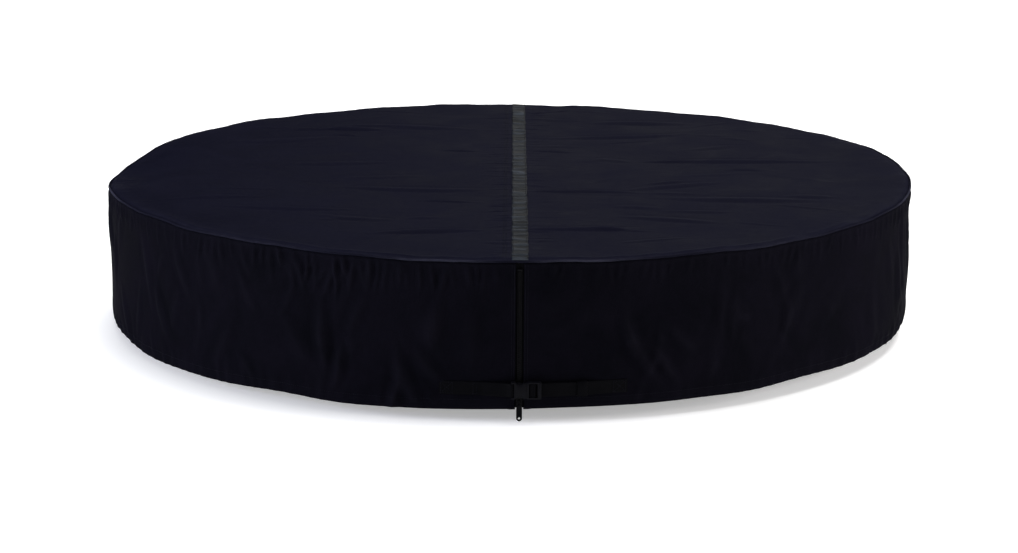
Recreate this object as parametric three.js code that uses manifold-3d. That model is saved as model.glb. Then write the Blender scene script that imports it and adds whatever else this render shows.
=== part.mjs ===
// Slip-over cover for a round spa. Two top panels are joined by a reflective strip, and a skirt in two
// halves hangs from a piped rim to a drawn-in hem. The skirt opens at a front zip, which a webbing strap
// with a side-release buckle crosses just above the hem.
// Millimetres, +Z up, front towards -Y. The origin is the middle of the underside that rests on the spa.
import * as THREE from "three";
import { mergeVertices } from "three/addons/utils/BufferGeometryUtils.js";
import Module from "manifold-3d";

const wasm = await Module();
wasm.setup();

// The cover
const RADIUS = 830; // outside of the skirt
const SKIRT_DROP = 272; // underside of the top panels down to the hem
const CLOTH = 1.6; // a cloth layer with its coating and seam allowance
const GAP = 0.3; // between pieces that touch
const SEAM_X = 20; // the strip, the zip and the back seam lie this far right of the middle
const HALF_STEPS = 48; // flats round each half of the cover

// Strip, rim and hem
const STRIP_WIDTH = 30;
const STRIP_THICKNESS = 0.8;
const PIPING_RADIUS = 2;
const HEM_HEIGHT = 20; // depth of the turned-up casing
const ELASTIC_THICKNESS = 0.8;
const CASING_ROOM = 2.2; // between the hem's two layers
const DRAW_IN = 14; // how far the elastic pulls the hem in
const DRAW_HEIGHT = 50; // over this height above the hem
const DRAW_FROM = THREE.MathUtils.degToRad(16); // no pull this near the zip
const DRAW_FULL = THREE.MathUtils.degToRad(55); // full pull from here on
const BACK_TAPE_WIDTH = 22;

// Zip, in the closure's own frame: x along the skirt, y inwards, z up
const ZIP_GAP = 15; // between the two front edges of the skirt
const TAPE_WIDTH = 16.6;
const TAPE_THICKNESS = 0.8;
const TAPE_FRONT = 2.6;
const TAPE_TOP = -8;
const TOOTH_PITCH = 4;
const TOOTH_HEIGHT = TOOTH_PITCH / 2 - GAP;
const TOOTH_REACH = 1.3; // past the middle of the zip
const RAIL_INNER = 3;
const RAIL_OUTER = 4;
const CHAIN_BACK = TAPE_FRONT - GAP;
const CHAIN_DEPTH = 2.9;
const CHAIN_TOP = -15.7;
const CHAIN_BOTTOM = -268.6;
const STOP_HEIGHT = 2.4;
const END_STOP_HEIGHT = 3.4;

// Slider and pull
const SLIDER_LENGTH = 17;
const SLIDER_MID = -259;
const SLIDER_HALF_WIDTH = 5.8;
const FLANGE_INNER = 4.4;
const PLATE_THICKNESS = 1.8;
const CHANNEL_FRONT = CHAIN_BACK - CHAIN_DEPTH - GAP;
const SLIDER_FACE = CHANNEL_FRONT - PLATE_THICKNESS;
const CROWN_WIDTH = 2.4;
const CROWN_HALF_LENGTH = 4.6;
const CROWN_WALL = 2;
const CROWN_TOP = SLIDER_FACE - 4.7;
const CROWN_ROOM = SLIDER_FACE - 3.3;
const PULL_AXIS_Y = SLIDER_FACE - 1.7;
const PULL_THICKNESS = 1.8;
const PULL_LENGTH = 36.5; // below its axis
const PULL_BAR = 1.1; // half the width of the bar inside the crown
const PULL_SLOT_END = 6.2;
const PULL_HALF_WIDTH = 5.4;

// Webbing strap and buckle
const WEB_WIDTH = 25;
const WEB = 1.6; // webbing thickness
const STRAP_Z = -235; // middle height of the strap and the buckle
const LAYER = WEB + GAP; // from one webbing layer to the next
const LEFT_END_X = -146;
const LEFT_SEWN_X = -74;
const SEWN_GAP = 0.4; // under webbing that lies along the skirt
const RIGHT_END_X = 198;
const RIGHT_SEWN_X = 170;
const TAIL_END_X = 140;
const BUCKLE_BACK = -8;
const BUCKLE_DEPTH = 9;
const BUCKLE_HALF_HEIGHT = 16;
const SLOT_HALF_HEIGHT = 13;
const SOCKET_LEFT = -15;
const SOCKET_RIGHT = 11.7;
const PLUG_LEFT = 12;
const PLUG_RIGHT = 40;
const PLATE = 1.7; // front and back walls of the socket
const BAR_B = [20.5, 27.9]; // the plug's middle bar, which the webbing goes over
const BAR_C = [33, 40]; // the plug's end bar
const PLUG_BACK = -8.4;
const PLUG_DEPTH = 8.2;
const BAR_FRONT = -14.1;
const BAR_BACK = -9.8;
const PRONG_BACK = -10;
const PRONG_DEPTH = 5;
const KEEPER_X = 114.5;
const KEEPER_LENGTH = 19;
const KEEPER_WALL = 1.2;
const PATCH_MARGIN = 4;
const PATCH_HEIGHT = 33;

const SEAM_ANGLE = Math.asin(SEAM_X / RADIUS);
const FRONT_ANGLE = -Math.PI / 2 + SEAM_ANGLE;
const BACK_ANGLE = Math.PI / 2 - SEAM_ANGLE;

const finishes = {
  cloth: { color: 0x14151c, roughness: 0.75, metalness: 0 },
  skirtCloth: { color: 0x101118, roughness: 0.75, metalness: 0 },
  piping: { color: 0x191a21, roughness: 0.7, metalness: 0 },
  reflective: { color: 0x5b6163, roughness: 0.45, metalness: 0.2 },
  elastic: { color: 0x1c1c1f, roughness: 0.9, metalness: 0 },
  tape: { color: 0x121216, roughness: 0.85, metalness: 0 },
  webbing: { color: 0x0e0e11, roughness: 0.8, metalness: 0 },
  plastic: { color: 0x15161a, roughness: 0.45, metalness: 0 },
  blackMetal: { color: 0x1a1b1e, roughness: 0.35, metalness: 0.6 },
};

const point = (x, y) => new THREE.Vector2(x, y);

// A closed geometry as a solid, and a solid back as a geometry.
function solidOf(geometry) {
  const bare = geometry.clone();
  bare.deleteAttribute("normal");
  bare.deleteAttribute("uv");
  const merged = mergeVertices(bare, 1e-4);
  return new wasm.Manifold(
    new wasm.Mesh({
      numProp: 3,
      vertProperties: new Float32Array(merged.attributes.position.array),
      triVerts: new Uint32Array(merged.index.array),
    }),
  );
}

function geometryOf(solid) {
  const mesh = solid.getMesh();
  const geometry = new THREE.BufferGeometry();
  geometry.setAttribute("position", new THREE.BufferAttribute(mesh.vertProperties, 3));
  geometry.setIndex(new THREE.BufferAttribute(mesh.triVerts, 1));
  geometry.computeVertexNormals();
  return geometry;
}

function cut(geometry, ...tools) {
  return geometryOf(tools.reduce((rest, tool) => rest.subtract(solidOf(tool)), solidOf(geometry)));
}

function join(...geometries) {
  return geometryOf(geometries.map(solidOf).reduce((all, next) => all.add(next)));
}

// A box between two corners.
function block([x0, x1], [y0, y1], [z0, z1]) {
  const box = new THREE.BoxGeometry(x1 - x0, y1 - y0, z1 - z0);
  return box.translate((x0 + x1) / 2, (y0 + y1) / 2, (z0 + z1) / 2);
}

// An outline drawn in plan (x, y), standing up from zLow.
function upright(shape, zLow, height) {
  const geometry = new THREE.ExtrudeGeometry(shape, { depth: height, bevelEnabled: false });
  return geometry.translate(0, 0, zLow);
}

// An outline drawn as seen from the front (x, z), reaching outwards from its back face.
function facing(shape, yBack, depth) {
  const geometry = new THREE.ExtrudeGeometry(shape, { depth, bevelEnabled: false, curveSegments: 8 });
  return geometry.rotateX(Math.PI / 2).translate(0, yBack, 0);
}

// An outline drawn as seen from the side (z downwards, y), centred on x = 0.
function sideways(shape, width) {
  const geometry = new THREE.ExtrudeGeometry(shape, { depth: width, bevelEnabled: false });
  return geometry.rotateY(Math.PI / 2).translate(-width / 2, 0, 0);
}

function rectangle(x0, x1, y0, y1) {
  return new THREE.Shape([point(x0, y0), point(x1, y0), point(x1, y1), point(x0, y1)]);
}

// A level arc round the cover's axis, counter-clockwise as seen from above.
class RimArc extends THREE.Curve {
  constructor(from, to) {
    super();
    this.from = from;
    this.to = to;
  }

  getPoint(t, target = new THREE.Vector3()) {
    const angle = this.from + (this.to - this.from) * t;
    return target.set(RADIUS * Math.cos(angle), RADIUS * Math.sin(angle), 0);
  }
}

// A section given as [radius, z] corners, carried round the cover from one angle to another.
function carriedRound(section, from, to, steps) {
  const shape = new THREE.Shape(section.map(([radius, z]) => point(-z, RADIUS - radius)));
  return new THREE.ExtrudeGeometry(shape, {
    steps,
    bevelEnabled: false,
    extrudePath: new RimArc(from, to),
  });
}

// The hem elastic's pull: it grows towards the hem, and fades out on both sides of the zip.
function drawnIn(geometry) {
  const places = geometry.attributes.position;
  const v = new THREE.Vector3();
  for (let i = 0; i < places.count; i++) {
    v.fromBufferAttribute(places, i);
    const down = THREE.MathUtils.clamp(1 - (SKIRT_DROP + v.z) / DRAW_HEIGHT, 0, 1);
    const turn = Math.abs(Math.atan2(v.y, v.x) - FRONT_ANGLE);
    const fromZip = Math.min(turn, 2 * Math.PI - turn);
    const pull = DRAW_IN * down * down * THREE.MathUtils.smoothstep(fromZip, DRAW_FROM, DRAW_FULL);
    const radius = Math.hypot(v.x, v.y);
    const scale = (radius - pull) / radius;
    places.setXYZ(i, v.x * scale, v.y * scale, v.z);
  }
  return geometry;
}

// Where the skirt's outside lies at x in the closure's frame.
const wallAt = (x) => RADIUS - Math.sqrt(RADIUS * RADIUS - x * x);
const angleAt = (x) => FRONT_ANGLE + Math.asin(x / RADIUS);

// The outline of a band of even thickness whose middle follows the points.
function bandOutline(points, thickness) {
  const normals = points.slice(1).map((after, i) => {
    const along = after.clone().sub(points[i]).normalize();
    return point(-along.y, along.x);
  });
  const edge = points.map((middle, i) => {
    const before = normals[Math.max(i - 1, 0)];
    const after = normals[Math.min(i, normals.length - 1)];
    const mitre = before.clone().add(after).normalize();
    return mitre.multiplyScalar(thickness / 2 / mitre.dot(before));
  });
  const leftSide = points.map((middle, i) => middle.clone().add(edge[i]));
  const rightSide = points.map((middle, i) => middle.clone().sub(edge[i]));
  return new THREE.Shape([...leftSide, ...rightSide.reverse()]);
}

const steps = (from, to, count) =>
  Array.from({ length: count + 1 }, (_, i) => from + ((to - from) * i) / count);

function topPanel(side) {
  const edge = RADIUS - CLOTH - PIPING_RADIUS / 2 - 2 * GAP;
  const seam = SEAM_X + (side * GAP) / 2;
  const turn = Math.acos(seam / edge);
  const shape = new THREE.Shape();
  if (side > 0) shape.absarc(0, 0, edge, -turn, turn, false);
  else shape.absarc(0, 0, edge, turn, 2 * Math.PI - turn, false);
  return new THREE.ExtrudeGeometry(shape, {
    depth: CLOTH,
    bevelEnabled: false,
    curveSegments: HALF_STEPS,
  });
}

function reflectiveStrip() {
  const reach = RADIUS - 2 * PIPING_RADIUS;
  const half = Math.sqrt(reach ** 2 - (SEAM_X + STRIP_WIDTH / 2) ** 2);
  const low = CLOTH + GAP;
  return block(
    [SEAM_X - STRIP_WIDTH / 2, SEAM_X + STRIP_WIDTH / 2],
    [-half, half],
    [low, low + STRIP_THICKNESS],
  );
}

// The angles between which one half of the cover runs, with a clearance at each end.
function halfTurn(side, frontRoom, backRoom) {
  const front = Math.asin(frontRoom / RADIUS);
  const back = Math.asin(backRoom / RADIUS);
  return side > 0
    ? [FRONT_ANGLE + front, BACK_ANGLE - back]
    : [BACK_ANGLE + back, FRONT_ANGLE + 2 * Math.PI - front];
}

function rimPiping(side) {
  const middle = [RADIUS - GAP, CLOTH + 0.2];
  const section = steps(0, 5, 5).map((i) => [
    middle[0] + PIPING_RADIUS * Math.cos((i * Math.PI) / 3),
    middle[1] + PIPING_RADIUS * Math.sin((i * Math.PI) / 3),
  ]);
  return carriedRound(section, ...halfTurn(side, GAP / 2, GAP / 2), HALF_STEPS);
}

// One half of the skirt: a single cloth wall whose hem turns up inside to form the elastic's casing.
// The casing stops short of the zip.
function skirtHalf(side) {
  const top = -GAP - 0.2;
  const inner = RADIUS - CLOTH;
  const folded = RADIUS - 2 * CLOTH - CASING_ROOM;
  const levels = [top, ...steps(DRAW_HEIGHT - SKIRT_DROP, -SKIRT_DROP, 5)];
  const outside = levels.map((z) => [RADIUS, z]);
  const casing = [
    [folded, -SKIRT_DROP],
    [folded, HEM_HEIGHT / 2 - SKIRT_DROP],
    [folded, HEM_HEIGHT - SKIRT_DROP],
    [folded + CLOTH, HEM_HEIGHT - SKIRT_DROP],
    [folded + CLOTH, HEM_HEIGHT / 2 - SKIRT_DROP],
    [folded + CLOTH, CLOTH - SKIRT_DROP],
    [inner, CLOTH - SKIRT_DROP],
  ];
  const inside = levels.slice(0, -1).map((z) => [inner, z]);
  const section = [...outside, ...casing, ...inside.reverse()];
  const wall = carriedRound(section, ...halfTurn(side, ZIP_GAP / 2, GAP / 2), HALF_STEPS);
  const endRoom = block(
    [-TAPE_WIDTH - 2, TAPE_WIDTH + 2],
    [CLOTH + 0.4, 5 * CLOTH],
    [-SKIRT_DROP - 1, HEM_HEIGHT - SKIRT_DROP + 1],
  );
  return cut(drawnIn(wall), inClosure(endRoom));
}

function hemElastic(side) {
  const inner = RADIUS - CLOTH - (CASING_ROOM + ELASTIC_THICKNESS) / 2;
  const section = [
    [inner, CLOTH + 2 - SKIRT_DROP],
    [inner + ELASTIC_THICKNESS, CLOTH + 2 - SKIRT_DROP],
    [inner + ELASTIC_THICKNESS, HEM_HEIGHT / 2 - SKIRT_DROP],
    [inner + ELASTIC_THICKNESS, HEM_HEIGHT - 2 - SKIRT_DROP],
    [inner, HEM_HEIGHT - 2 - SKIRT_DROP],
    [inner, HEM_HEIGHT / 2 - SKIRT_DROP],
  ];
  const [from, to] = halfTurn(side, ZIP_GAP / 2, GAP / 2);
  const flat = (to - from) / HALF_STEPS;
  return drawnIn(carriedRound(section, from + flat, to - flat, HALF_STEPS - 2));
}

// A flat cloth strip against the inside of the skirt, between two places in the closure's frame.
function insidePatch(from, to, zMiddle, height) {
  const outer = RADIUS - CLOTH - 3 * GAP;
  const section = [
    [outer, zMiddle - height / 2],
    [outer, zMiddle + height / 2],
    [outer - TAPE_THICKNESS, zMiddle + height / 2],
    [outer - TAPE_THICKNESS, zMiddle - height / 2],
  ];
  return carriedRound(section, from, to, 4);
}

function backSeamTape() {
  const half = BACK_TAPE_WIDTH / 2 / RADIUS;
  const top = TAPE_TOP;
  const bottom = HEM_HEIGHT + DRAW_HEIGHT / 2 - SKIRT_DROP;
  return insidePatch(BACK_ANGLE - half, BACK_ANGLE + half, (top + bottom) / 2, top - bottom);
}

function zipTape(side) {
  const near = (side * GAP) / 2;
  const far = side * TAPE_WIDTH;
  return block(
    [Math.min(near, far), Math.max(near, far)],
    [TAPE_FRONT, TAPE_FRONT + TAPE_THICKNESS],
    [-SKIRT_DROP + 0.5, TAPE_TOP],
  );
}

// One row of moulded teeth on its rail. The two rows mesh, half a pitch apart.
function zipTeeth(side) {
  const count = Math.floor((CHAIN_TOP - CHAIN_BOTTOM) / TOOTH_PITCH);
  const start = CHAIN_BOTTOM + (side > 0 ? TOOTH_PITCH / 2 : 0);
  const toothEdge = steps(0, count - 1, count - 1).flatMap((i) => {
    const low = start + i * TOOTH_PITCH;
    return [
      point(side * RAIL_INNER, low),
      point(-side * TOOTH_REACH, low),
      point(-side * TOOTH_REACH, low + TOOTH_HEIGHT),
      point(side * RAIL_INNER, low + TOOTH_HEIGHT),
    ];
  });
  const outline = [
    point(side * RAIL_OUTER, CHAIN_BOTTOM - 0.05),
    point(side * RAIL_INNER, CHAIN_BOTTOM - 0.05),
    ...toothEdge,
    point(side * RAIL_INNER, CHAIN_TOP),
    point(side * RAIL_OUTER, CHAIN_TOP),
  ];
  return facing(new THREE.Shape(outline), CHAIN_BACK, CHAIN_DEPTH);
}

function zipStop(side) {
  const ends = [side * 0.4, side * (RAIL_OUTER + 0.2)].sort((a, b) => a - b);
  const top = CHAIN_BOTTOM - GAP - 0.05;
  return block(ends, [CHAIN_BACK - CHAIN_DEPTH, CHAIN_BACK], [top - STOP_HEIGHT, top]);
}

function zipEndStop() {
  const low = CHAIN_TOP + GAP;
  const half = RAIL_OUTER + 0.2;
  return block([-half, half], [CHAIN_BACK - CHAIN_DEPTH, CHAIN_BACK], [low, low + END_STOP_HEIGHT]);
}

// The slider's front half: a channel round the teeth, and the crown that the pull hangs from.
function sliderFront() {
  const channel = new THREE.Shape([
    point(-SLIDER_HALF_WIDTH, SLIDER_FACE),
    point(SLIDER_HALF_WIDTH, SLIDER_FACE),
    point(SLIDER_HALF_WIDTH, CHAIN_BACK),
    point(FLANGE_INNER, CHAIN_BACK),
    point(FLANGE_INNER, CHANNEL_FRONT),
    point(-FLANGE_INNER, CHANNEL_FRONT),
    point(-FLANGE_INNER, CHAIN_BACK),
    point(-SLIDER_HALF_WIDTH, CHAIN_BACK),
  ]);
  const body = upright(channel, -SLIDER_LENGTH / 2, SLIDER_LENGTH);
  const rootY = SLIDER_FACE + PLATE_THICKNESS / 2;
  const crown = new THREE.Shape([
    point(-CROWN_HALF_LENGTH, rootY),
    point(CROWN_HALF_LENGTH, rootY),
    point(CROWN_HALF_LENGTH, CROWN_TOP + 1.5),
    point(CROWN_HALF_LENGTH - 1.5, CROWN_TOP),
    point(1.5 - CROWN_HALF_LENGTH, CROWN_TOP),
    point(-CROWN_HALF_LENGTH, CROWN_TOP + 1.5),
  ]);
  const room = CROWN_HALF_LENGTH - CROWN_WALL;
  crown.holes.push(rectangle(-room, room, CROWN_ROOM, SLIDER_FACE + 0.1));
  return join(body, sideways(crown, CROWN_WIDTH));
}

function sliderBack() {
  const front = TAPE_FRONT + TAPE_THICKNESS + GAP;
  return block(
    [-SLIDER_HALF_WIDTH, SLIDER_HALF_WIDTH],
    [front, front + PLATE_THICKNESS - 0.2],
    [-SLIDER_LENGTH / 2, SLIDER_LENGTH / 2],
  );
}

// The pull, drawn round its axis: a slotted eye at the top and a round hole near its end.
function zipPull() {
  const eye = 3.6;
  const end = -PULL_LENGTH;
  const shape = new THREE.Shape();
  shape.moveTo(-eye, PULL_BAR);
  shape.lineTo(-eye, -8);
  shape.quadraticCurveTo(-PULL_HALF_WIDTH, -10, -PULL_HALF_WIDTH, -14);
  shape.lineTo(-PULL_HALF_WIDTH, end + PULL_HALF_WIDTH);
  shape.absarc(0, end + PULL_HALF_WIDTH, PULL_HALF_WIDTH, Math.PI, 2 * Math.PI, false);
  shape.lineTo(PULL_HALF_WIDTH, -14);
  shape.quadraticCurveTo(PULL_HALF_WIDTH, -10, eye, -8);
  shape.lineTo(eye, PULL_BAR);
  shape.closePath();
  shape.holes.push(rectangle(-1.8, 1.8, -PULL_SLOT_END, -PULL_BAR));
  const hole = new THREE.Path();
  hole.absarc(0, end + PULL_HALF_WIDTH, 2.2, 0, 2 * Math.PI, true);
  shape.holes.push(hole);
  return facing(shape, PULL_THICKNESS / 2, PULL_THICKNESS);
}

// The left strap is sewn down along the skirt, climbs to the socket's bar, goes round it and comes back
// over itself.
function leftStrap() {
  const sewn = steps(LEFT_END_X, LEFT_SEWN_X, 4).map((x) => point(x, wallAt(x) - SEWN_GAP - WEB / 2));
  const foot = sewn[sewn.length - 1];
  const head = point(-20, -9.7);
  const climb = (t, lift) =>
    point(foot.x + (head.x - foot.x) * t, foot.y + (head.y - foot.y) * t - lift);
  const loop = [point(-11.6, -9.6), point(-10.9, -10.3), point(-10.9, -14.7), point(-11.6, -15.4)];
  const path = [
    ...sewn,
    head,
    ...loop,
    point(-15.5, -15.4),
    point(-21, -12.2),
    climb(0.85, LAYER * 1.05),
    climb(0.12, LAYER * 1.05),
  ];
  return strapOf(path);
}

// The right strap runs from the plug's middle bar to its sewn end, and its tail lies back over it.
const rightRun = (x) => {
  const start = 42;
  const most = wallAt(start) + 8.6;
  const least = SEWN_GAP + WEB / 2;
  const lift = most - ((most - least) * (x - start)) / (RIGHT_SEWN_X - start);
  return wallAt(x) - Math.max(lift, least);
};

function rightStrap() {
  const load = steps(RIGHT_END_X, RIGHT_SEWN_X, 2)
    .concat(steps(RIGHT_SEWN_X, 42, 8).slice(1))
    .map((x) => point(x, rightRun(x)));
  const overBar = [
    point(19.9, -8.6),
    point(19.2, -9.3),
    point(19.2, -14.6),
    point(19.9, -15.3),
    point(28.5, -15.3),
    point(29.2, -14.6),
    point(29.2, -12),
    point(31, -10.5),
  ];
  const tail = steps(42, TAIL_END_X, 6).map((x) => point(x, rightRun(x) - LAYER * 1.03));
  return strapOf([...load, ...overBar, ...tail]);
}

function strapOf(path) {
  return upright(bandOutline(path, WEB), STRAP_Z - WEB_WIDTH / 2, WEB_WIDTH);
}

// The socket: two waisted plates open at the mouth and at both sides, with a strap bar at its left end.
function buckleSocket() {
  const top = BUCKLE_HALF_HEIGHT;
  const outline = new THREE.Shape();
  outline.moveTo(SOCKET_LEFT, -top);
  outline.lineTo(-8, -top);
  outline.quadraticCurveTo(-5.5, -11.5, -1, -11.5);
  outline.lineTo(3, -11.5);
  outline.quadraticCurveTo(6.5, -11.5, 7.5, -15);
  outline.lineTo(SOCKET_RIGHT, -15);
  outline.lineTo(SOCKET_RIGHT, 15);
  outline.lineTo(7.5, 15);
  outline.quadraticCurveTo(6.5, 11.5, 3, 11.5);
  outline.lineTo(-1, 11.5);
  outline.quadraticCurveTo(-5.5, 11.5, -8, top);
  outline.lineTo(SOCKET_LEFT, top);
  outline.closePath();
  const face = BUCKLE_BACK - BUCKLE_DEPTH;
  const barEnd = -12.2;
  const wallEnd = -8.4;
  const slot = [-SLOT_HALF_HEIGHT, SLOT_HALF_HEIGHT];
  const hollow = block([wallEnd, 20], [face + PLATE, BUCKLE_BACK - PLATE], [-20, 20]);
  const webSlot = block([barEnd, -9.7], [face - 1, BUCKLE_BACK + 1], slot);
  const barFront = block([SOCKET_LEFT - 1, barEnd], [face - 1, -14.2], slot);
  const barBack = block([SOCKET_LEFT - 1, barEnd], [-10.8, BUCKLE_BACK + 1], slot);
  const spine = block([wallEnd - 0.5, -5], [face + PLATE / 2, BUCKLE_BACK - PLATE / 2], [-3, 3]);
  return join(
    cut(facing(outline, BUCKLE_BACK, BUCKLE_DEPTH), hollow, webSlot, barFront, barBack),
    spine,
  );
}

// The plug without its prongs: a base, a middle guide and a two-slot ladder for the webbing.
function bucklePlug() {
  const face = PLUG_BACK - PLUG_DEPTH;
  const top = BUCKLE_HALF_HEIGHT;
  const outline = new THREE.Shape();
  outline.moveTo(PLUG_LEFT, -14.5);
  outline.lineTo(17, -top);
  outline.lineTo(PLUG_RIGHT - 3, -top);
  outline.absarc(PLUG_RIGHT - 3, 3 - top, 3, -Math.PI / 2, 0, false);
  outline.lineTo(PLUG_RIGHT, top - 3);
  outline.absarc(PLUG_RIGHT - 3, top - 3, 3, 0, Math.PI / 2, false);
  outline.lineTo(17, top);
  outline.lineTo(PLUG_LEFT, 14.5);
  outline.closePath();
  const slot = [-SLOT_HALF_HEIGHT, SLOT_HALF_HEIGHT];
  const through = [face - 1, PLUG_BACK + 1];
  const firstSlot = block([17.4, BAR_B[0]], through, slot);
  const secondSlot = block([BAR_B[1], BAR_C[0]], through, slot);
  const overBar = block([BAR_B[0] - 1, BAR_B[1] + 1], [face - 1, BAR_FRONT], slot);
  const underBars = block([BAR_B[0] - 1, PLUG_RIGHT + 1], [BAR_BACK, PLUG_BACK + 1], slot);
  const underEnd = block([BAR_C[0] - 1, PLUG_RIGHT + 1], [-11.6, PLUG_BACK + 1], slot);
  const guide = block([-4, PLUG_LEFT + 1], [-14, -11], [-2, 2]);
  return join(
    cut(facing(outline, PLUG_BACK, PLUG_DEPTH), firstSlot, secondSlot, overBar, underBars, underEnd),
    guide,
  );
}

// A springy prong with a finger grip, above or below the guide.
function plugProng(side) {
  const outline = new THREE.Shape();
  outline.moveTo(11.2, 6.2 * side);
  outline.lineTo(11.2, 10.6 * side);
  outline.lineTo(7.5, 10.8 * side);
  outline.quadraticCurveTo(6, 14.2 * side, 3, 14.2 * side);
  outline.lineTo(-4, 14.2 * side);
  outline.quadraticCurveTo(-7, 13.6 * side, -7.6, 10.5 * side);
  outline.lineTo(-7.6, 8.5 * side);
  outline.lineTo(-5, 7.4 * side);
  outline.lineTo(5, 6.4 * side);
  outline.closePath();
  return facing(outline, PRONG_BACK, PRONG_DEPTH);
}

// A loop round both layers of the right strap, drawn about the middle of the layers.
function strapKeeper() {
  const room = [WEB + LAYER / 2 - WEB / 2 + 0.4, WEB_WIDTH / 2 + 0.4];
  const shape = rectangle(
    -room[1] - KEEPER_WALL,
    room[1] + KEEPER_WALL,
    -room[0] - KEEPER_WALL,
    room[0] + KEEPER_WALL,
  );
  shape.holes.push(rectangle(-room[1], room[1], -room[0], room[0]));
  return sideways(shape, KEEPER_LENGTH);
}

// The closure's frame stands on the outside of the skirt at the zip, level with the panels' underside.
const closure = new THREE.Group();
closure.position.set(SEAM_X, -Math.sqrt(RADIUS ** 2 - SEAM_X ** 2), 0);
closure.rotation.z = SEAM_ANGLE;
closure.updateMatrix();

function inClosure(geometry) {
  return geometry.applyMatrix4(closure.matrix);
}

function named(name, geometry, finish) {
  const mesh = new THREE.Mesh(geometry, new THREE.MeshStandardMaterial(finishes[finish]));
  mesh.name = name;
  return mesh;
}

const cover = new THREE.Group();
const sides = { left: -1, right: 1 };
for (const [word, side] of Object.entries(sides)) {
  cover.add(named(`top_panel_${word}`, topPanel(side), "cloth"));
  cover.add(named(`rim_piping_${word}`, rimPiping(side), "piping"));
  cover.add(named(`skirt_${word}`, skirtHalf(side), "skirtCloth"));
  cover.add(named(`hem_elastic_${word}`, hemElastic(side), "elastic"));
  closure.add(named(`zip_tape_${word}`, zipTape(side), "tape"));
  closure.add(named(`zip_teeth_${word}`, zipTeeth(side), "plastic"));
  closure.add(named(`zip_stop_${word}`, zipStop(side), "plastic"));
}
cover.add(named("reflective_strip", reflectiveStrip(), "reflective"));
cover.add(named("back_seam_tape", backSeamTape(), "tape"));

const patches = {
  strap_patch_left: [LEFT_END_X - PATCH_MARGIN, LEFT_SEWN_X + PATCH_MARGIN],
  strap_patch_right: [RIGHT_SEWN_X - PATCH_MARGIN, RIGHT_END_X + PATCH_MARGIN],
};
for (const [name, [from, to]] of Object.entries(patches)) {
  const patch = insidePatch(angleAt(from), angleAt(to), STRAP_Z, PATCH_HEIGHT);
  cover.add(named(name, patch, "cloth"));
}

closure.add(named("zip_end_stop", zipEndStop(), "plastic"));
closure.add(named("strap_left", leftStrap(), "webbing"));
closure.add(named("strap_right", rightStrap(), "webbing"));

const slider = new THREE.Group();
slider.position.z = SLIDER_MID;
slider.add(named("zip_slider_front", sliderFront(), "blackMetal"));
slider.add(named("zip_slider_back", sliderBack(), "blackMetal"));
const pull = named("zip_pull", zipPull(), "blackMetal");
pull.position.y = PULL_AXIS_Y;
slider.add(pull);
closure.add(slider);

const buckle = new THREE.Group();
buckle.position.z = STRAP_Z;
buckle.add(named("buckle_socket", buckleSocket(), "plastic"));
buckle.add(named("buckle_plug", bucklePlug(), "plastic"));
buckle.add(named("plug_prong_upper", plugProng(1), "plastic"));
buckle.add(named("plug_prong_lower", plugProng(-1), "plastic"));
closure.add(buckle);

const keeper = named("strap_keeper", strapKeeper(), "plastic");
const keeperReach = KEEPER_LENGTH / 2;
const keeperRise = rightRun(KEEPER_X + keeperReach) - rightRun(KEEPER_X - keeperReach);
keeper.position.set(KEEPER_X, rightRun(KEEPER_X) - LAYER / 2, STRAP_Z);
keeper.rotation.z = Math.atan2(keeperRise, KEEPER_LENGTH);
closure.add(keeper);

cover.add(closure);
export default cover;
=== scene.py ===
"""A round slip-over spa cover: coated cloth, reflective tape, zip and buckled strap.

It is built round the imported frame, in metres, with +Z up and its front towards -Y. The origin is
the middle of the underside that rests on the spa.
"""

import logging
import math
from collections.abc import Iterable, Sequence
from dataclasses import dataclass, field
from enum import Enum

import bmesh
import bpy
import numpy as np
from bpy.types import Material, NodeTree, Object
from mathutils import Matrix, Vector
from mathutils.bvhtree import BVHTree


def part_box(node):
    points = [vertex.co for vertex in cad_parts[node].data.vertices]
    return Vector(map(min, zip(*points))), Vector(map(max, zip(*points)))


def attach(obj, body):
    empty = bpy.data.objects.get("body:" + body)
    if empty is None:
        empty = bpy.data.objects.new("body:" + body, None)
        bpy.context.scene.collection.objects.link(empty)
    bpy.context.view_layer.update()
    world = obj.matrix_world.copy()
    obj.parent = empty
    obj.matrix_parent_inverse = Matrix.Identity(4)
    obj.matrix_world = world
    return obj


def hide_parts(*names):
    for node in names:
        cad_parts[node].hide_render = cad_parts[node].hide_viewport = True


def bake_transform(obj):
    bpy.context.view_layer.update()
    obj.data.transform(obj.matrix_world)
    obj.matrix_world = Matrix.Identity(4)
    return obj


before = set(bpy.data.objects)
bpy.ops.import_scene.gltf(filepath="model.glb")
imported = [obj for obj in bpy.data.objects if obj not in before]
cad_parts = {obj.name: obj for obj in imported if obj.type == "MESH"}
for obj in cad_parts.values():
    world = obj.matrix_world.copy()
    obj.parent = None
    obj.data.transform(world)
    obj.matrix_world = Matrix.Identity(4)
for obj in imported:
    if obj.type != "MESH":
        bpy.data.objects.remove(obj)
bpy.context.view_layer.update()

log = logging.getLogger("spa_cover")

MM = 0.001
CLOTH_UV = "cloth"
# Per-point attribute that lightens the cloth: rubbed spots near rims and seams, lighter crease crests, and a
# painted highlight along the top's rim ridge and on the piping; on the strip, painted shade in its gathers
# and painted highlight on their crests.
WEAR_AND_PAINTED_LIGHT = "wear"
Rgba = tuple[float, float, float, float]


class Side(Enum):
    """Which half of the cover a piece belongs to, and the sign of its X."""

    LEFT = -1
    RIGHT = 1

    @property
    def word(self) -> str:
        """The half's name as the frame's nodes spell it."""
        return self.name.lower()


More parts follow.
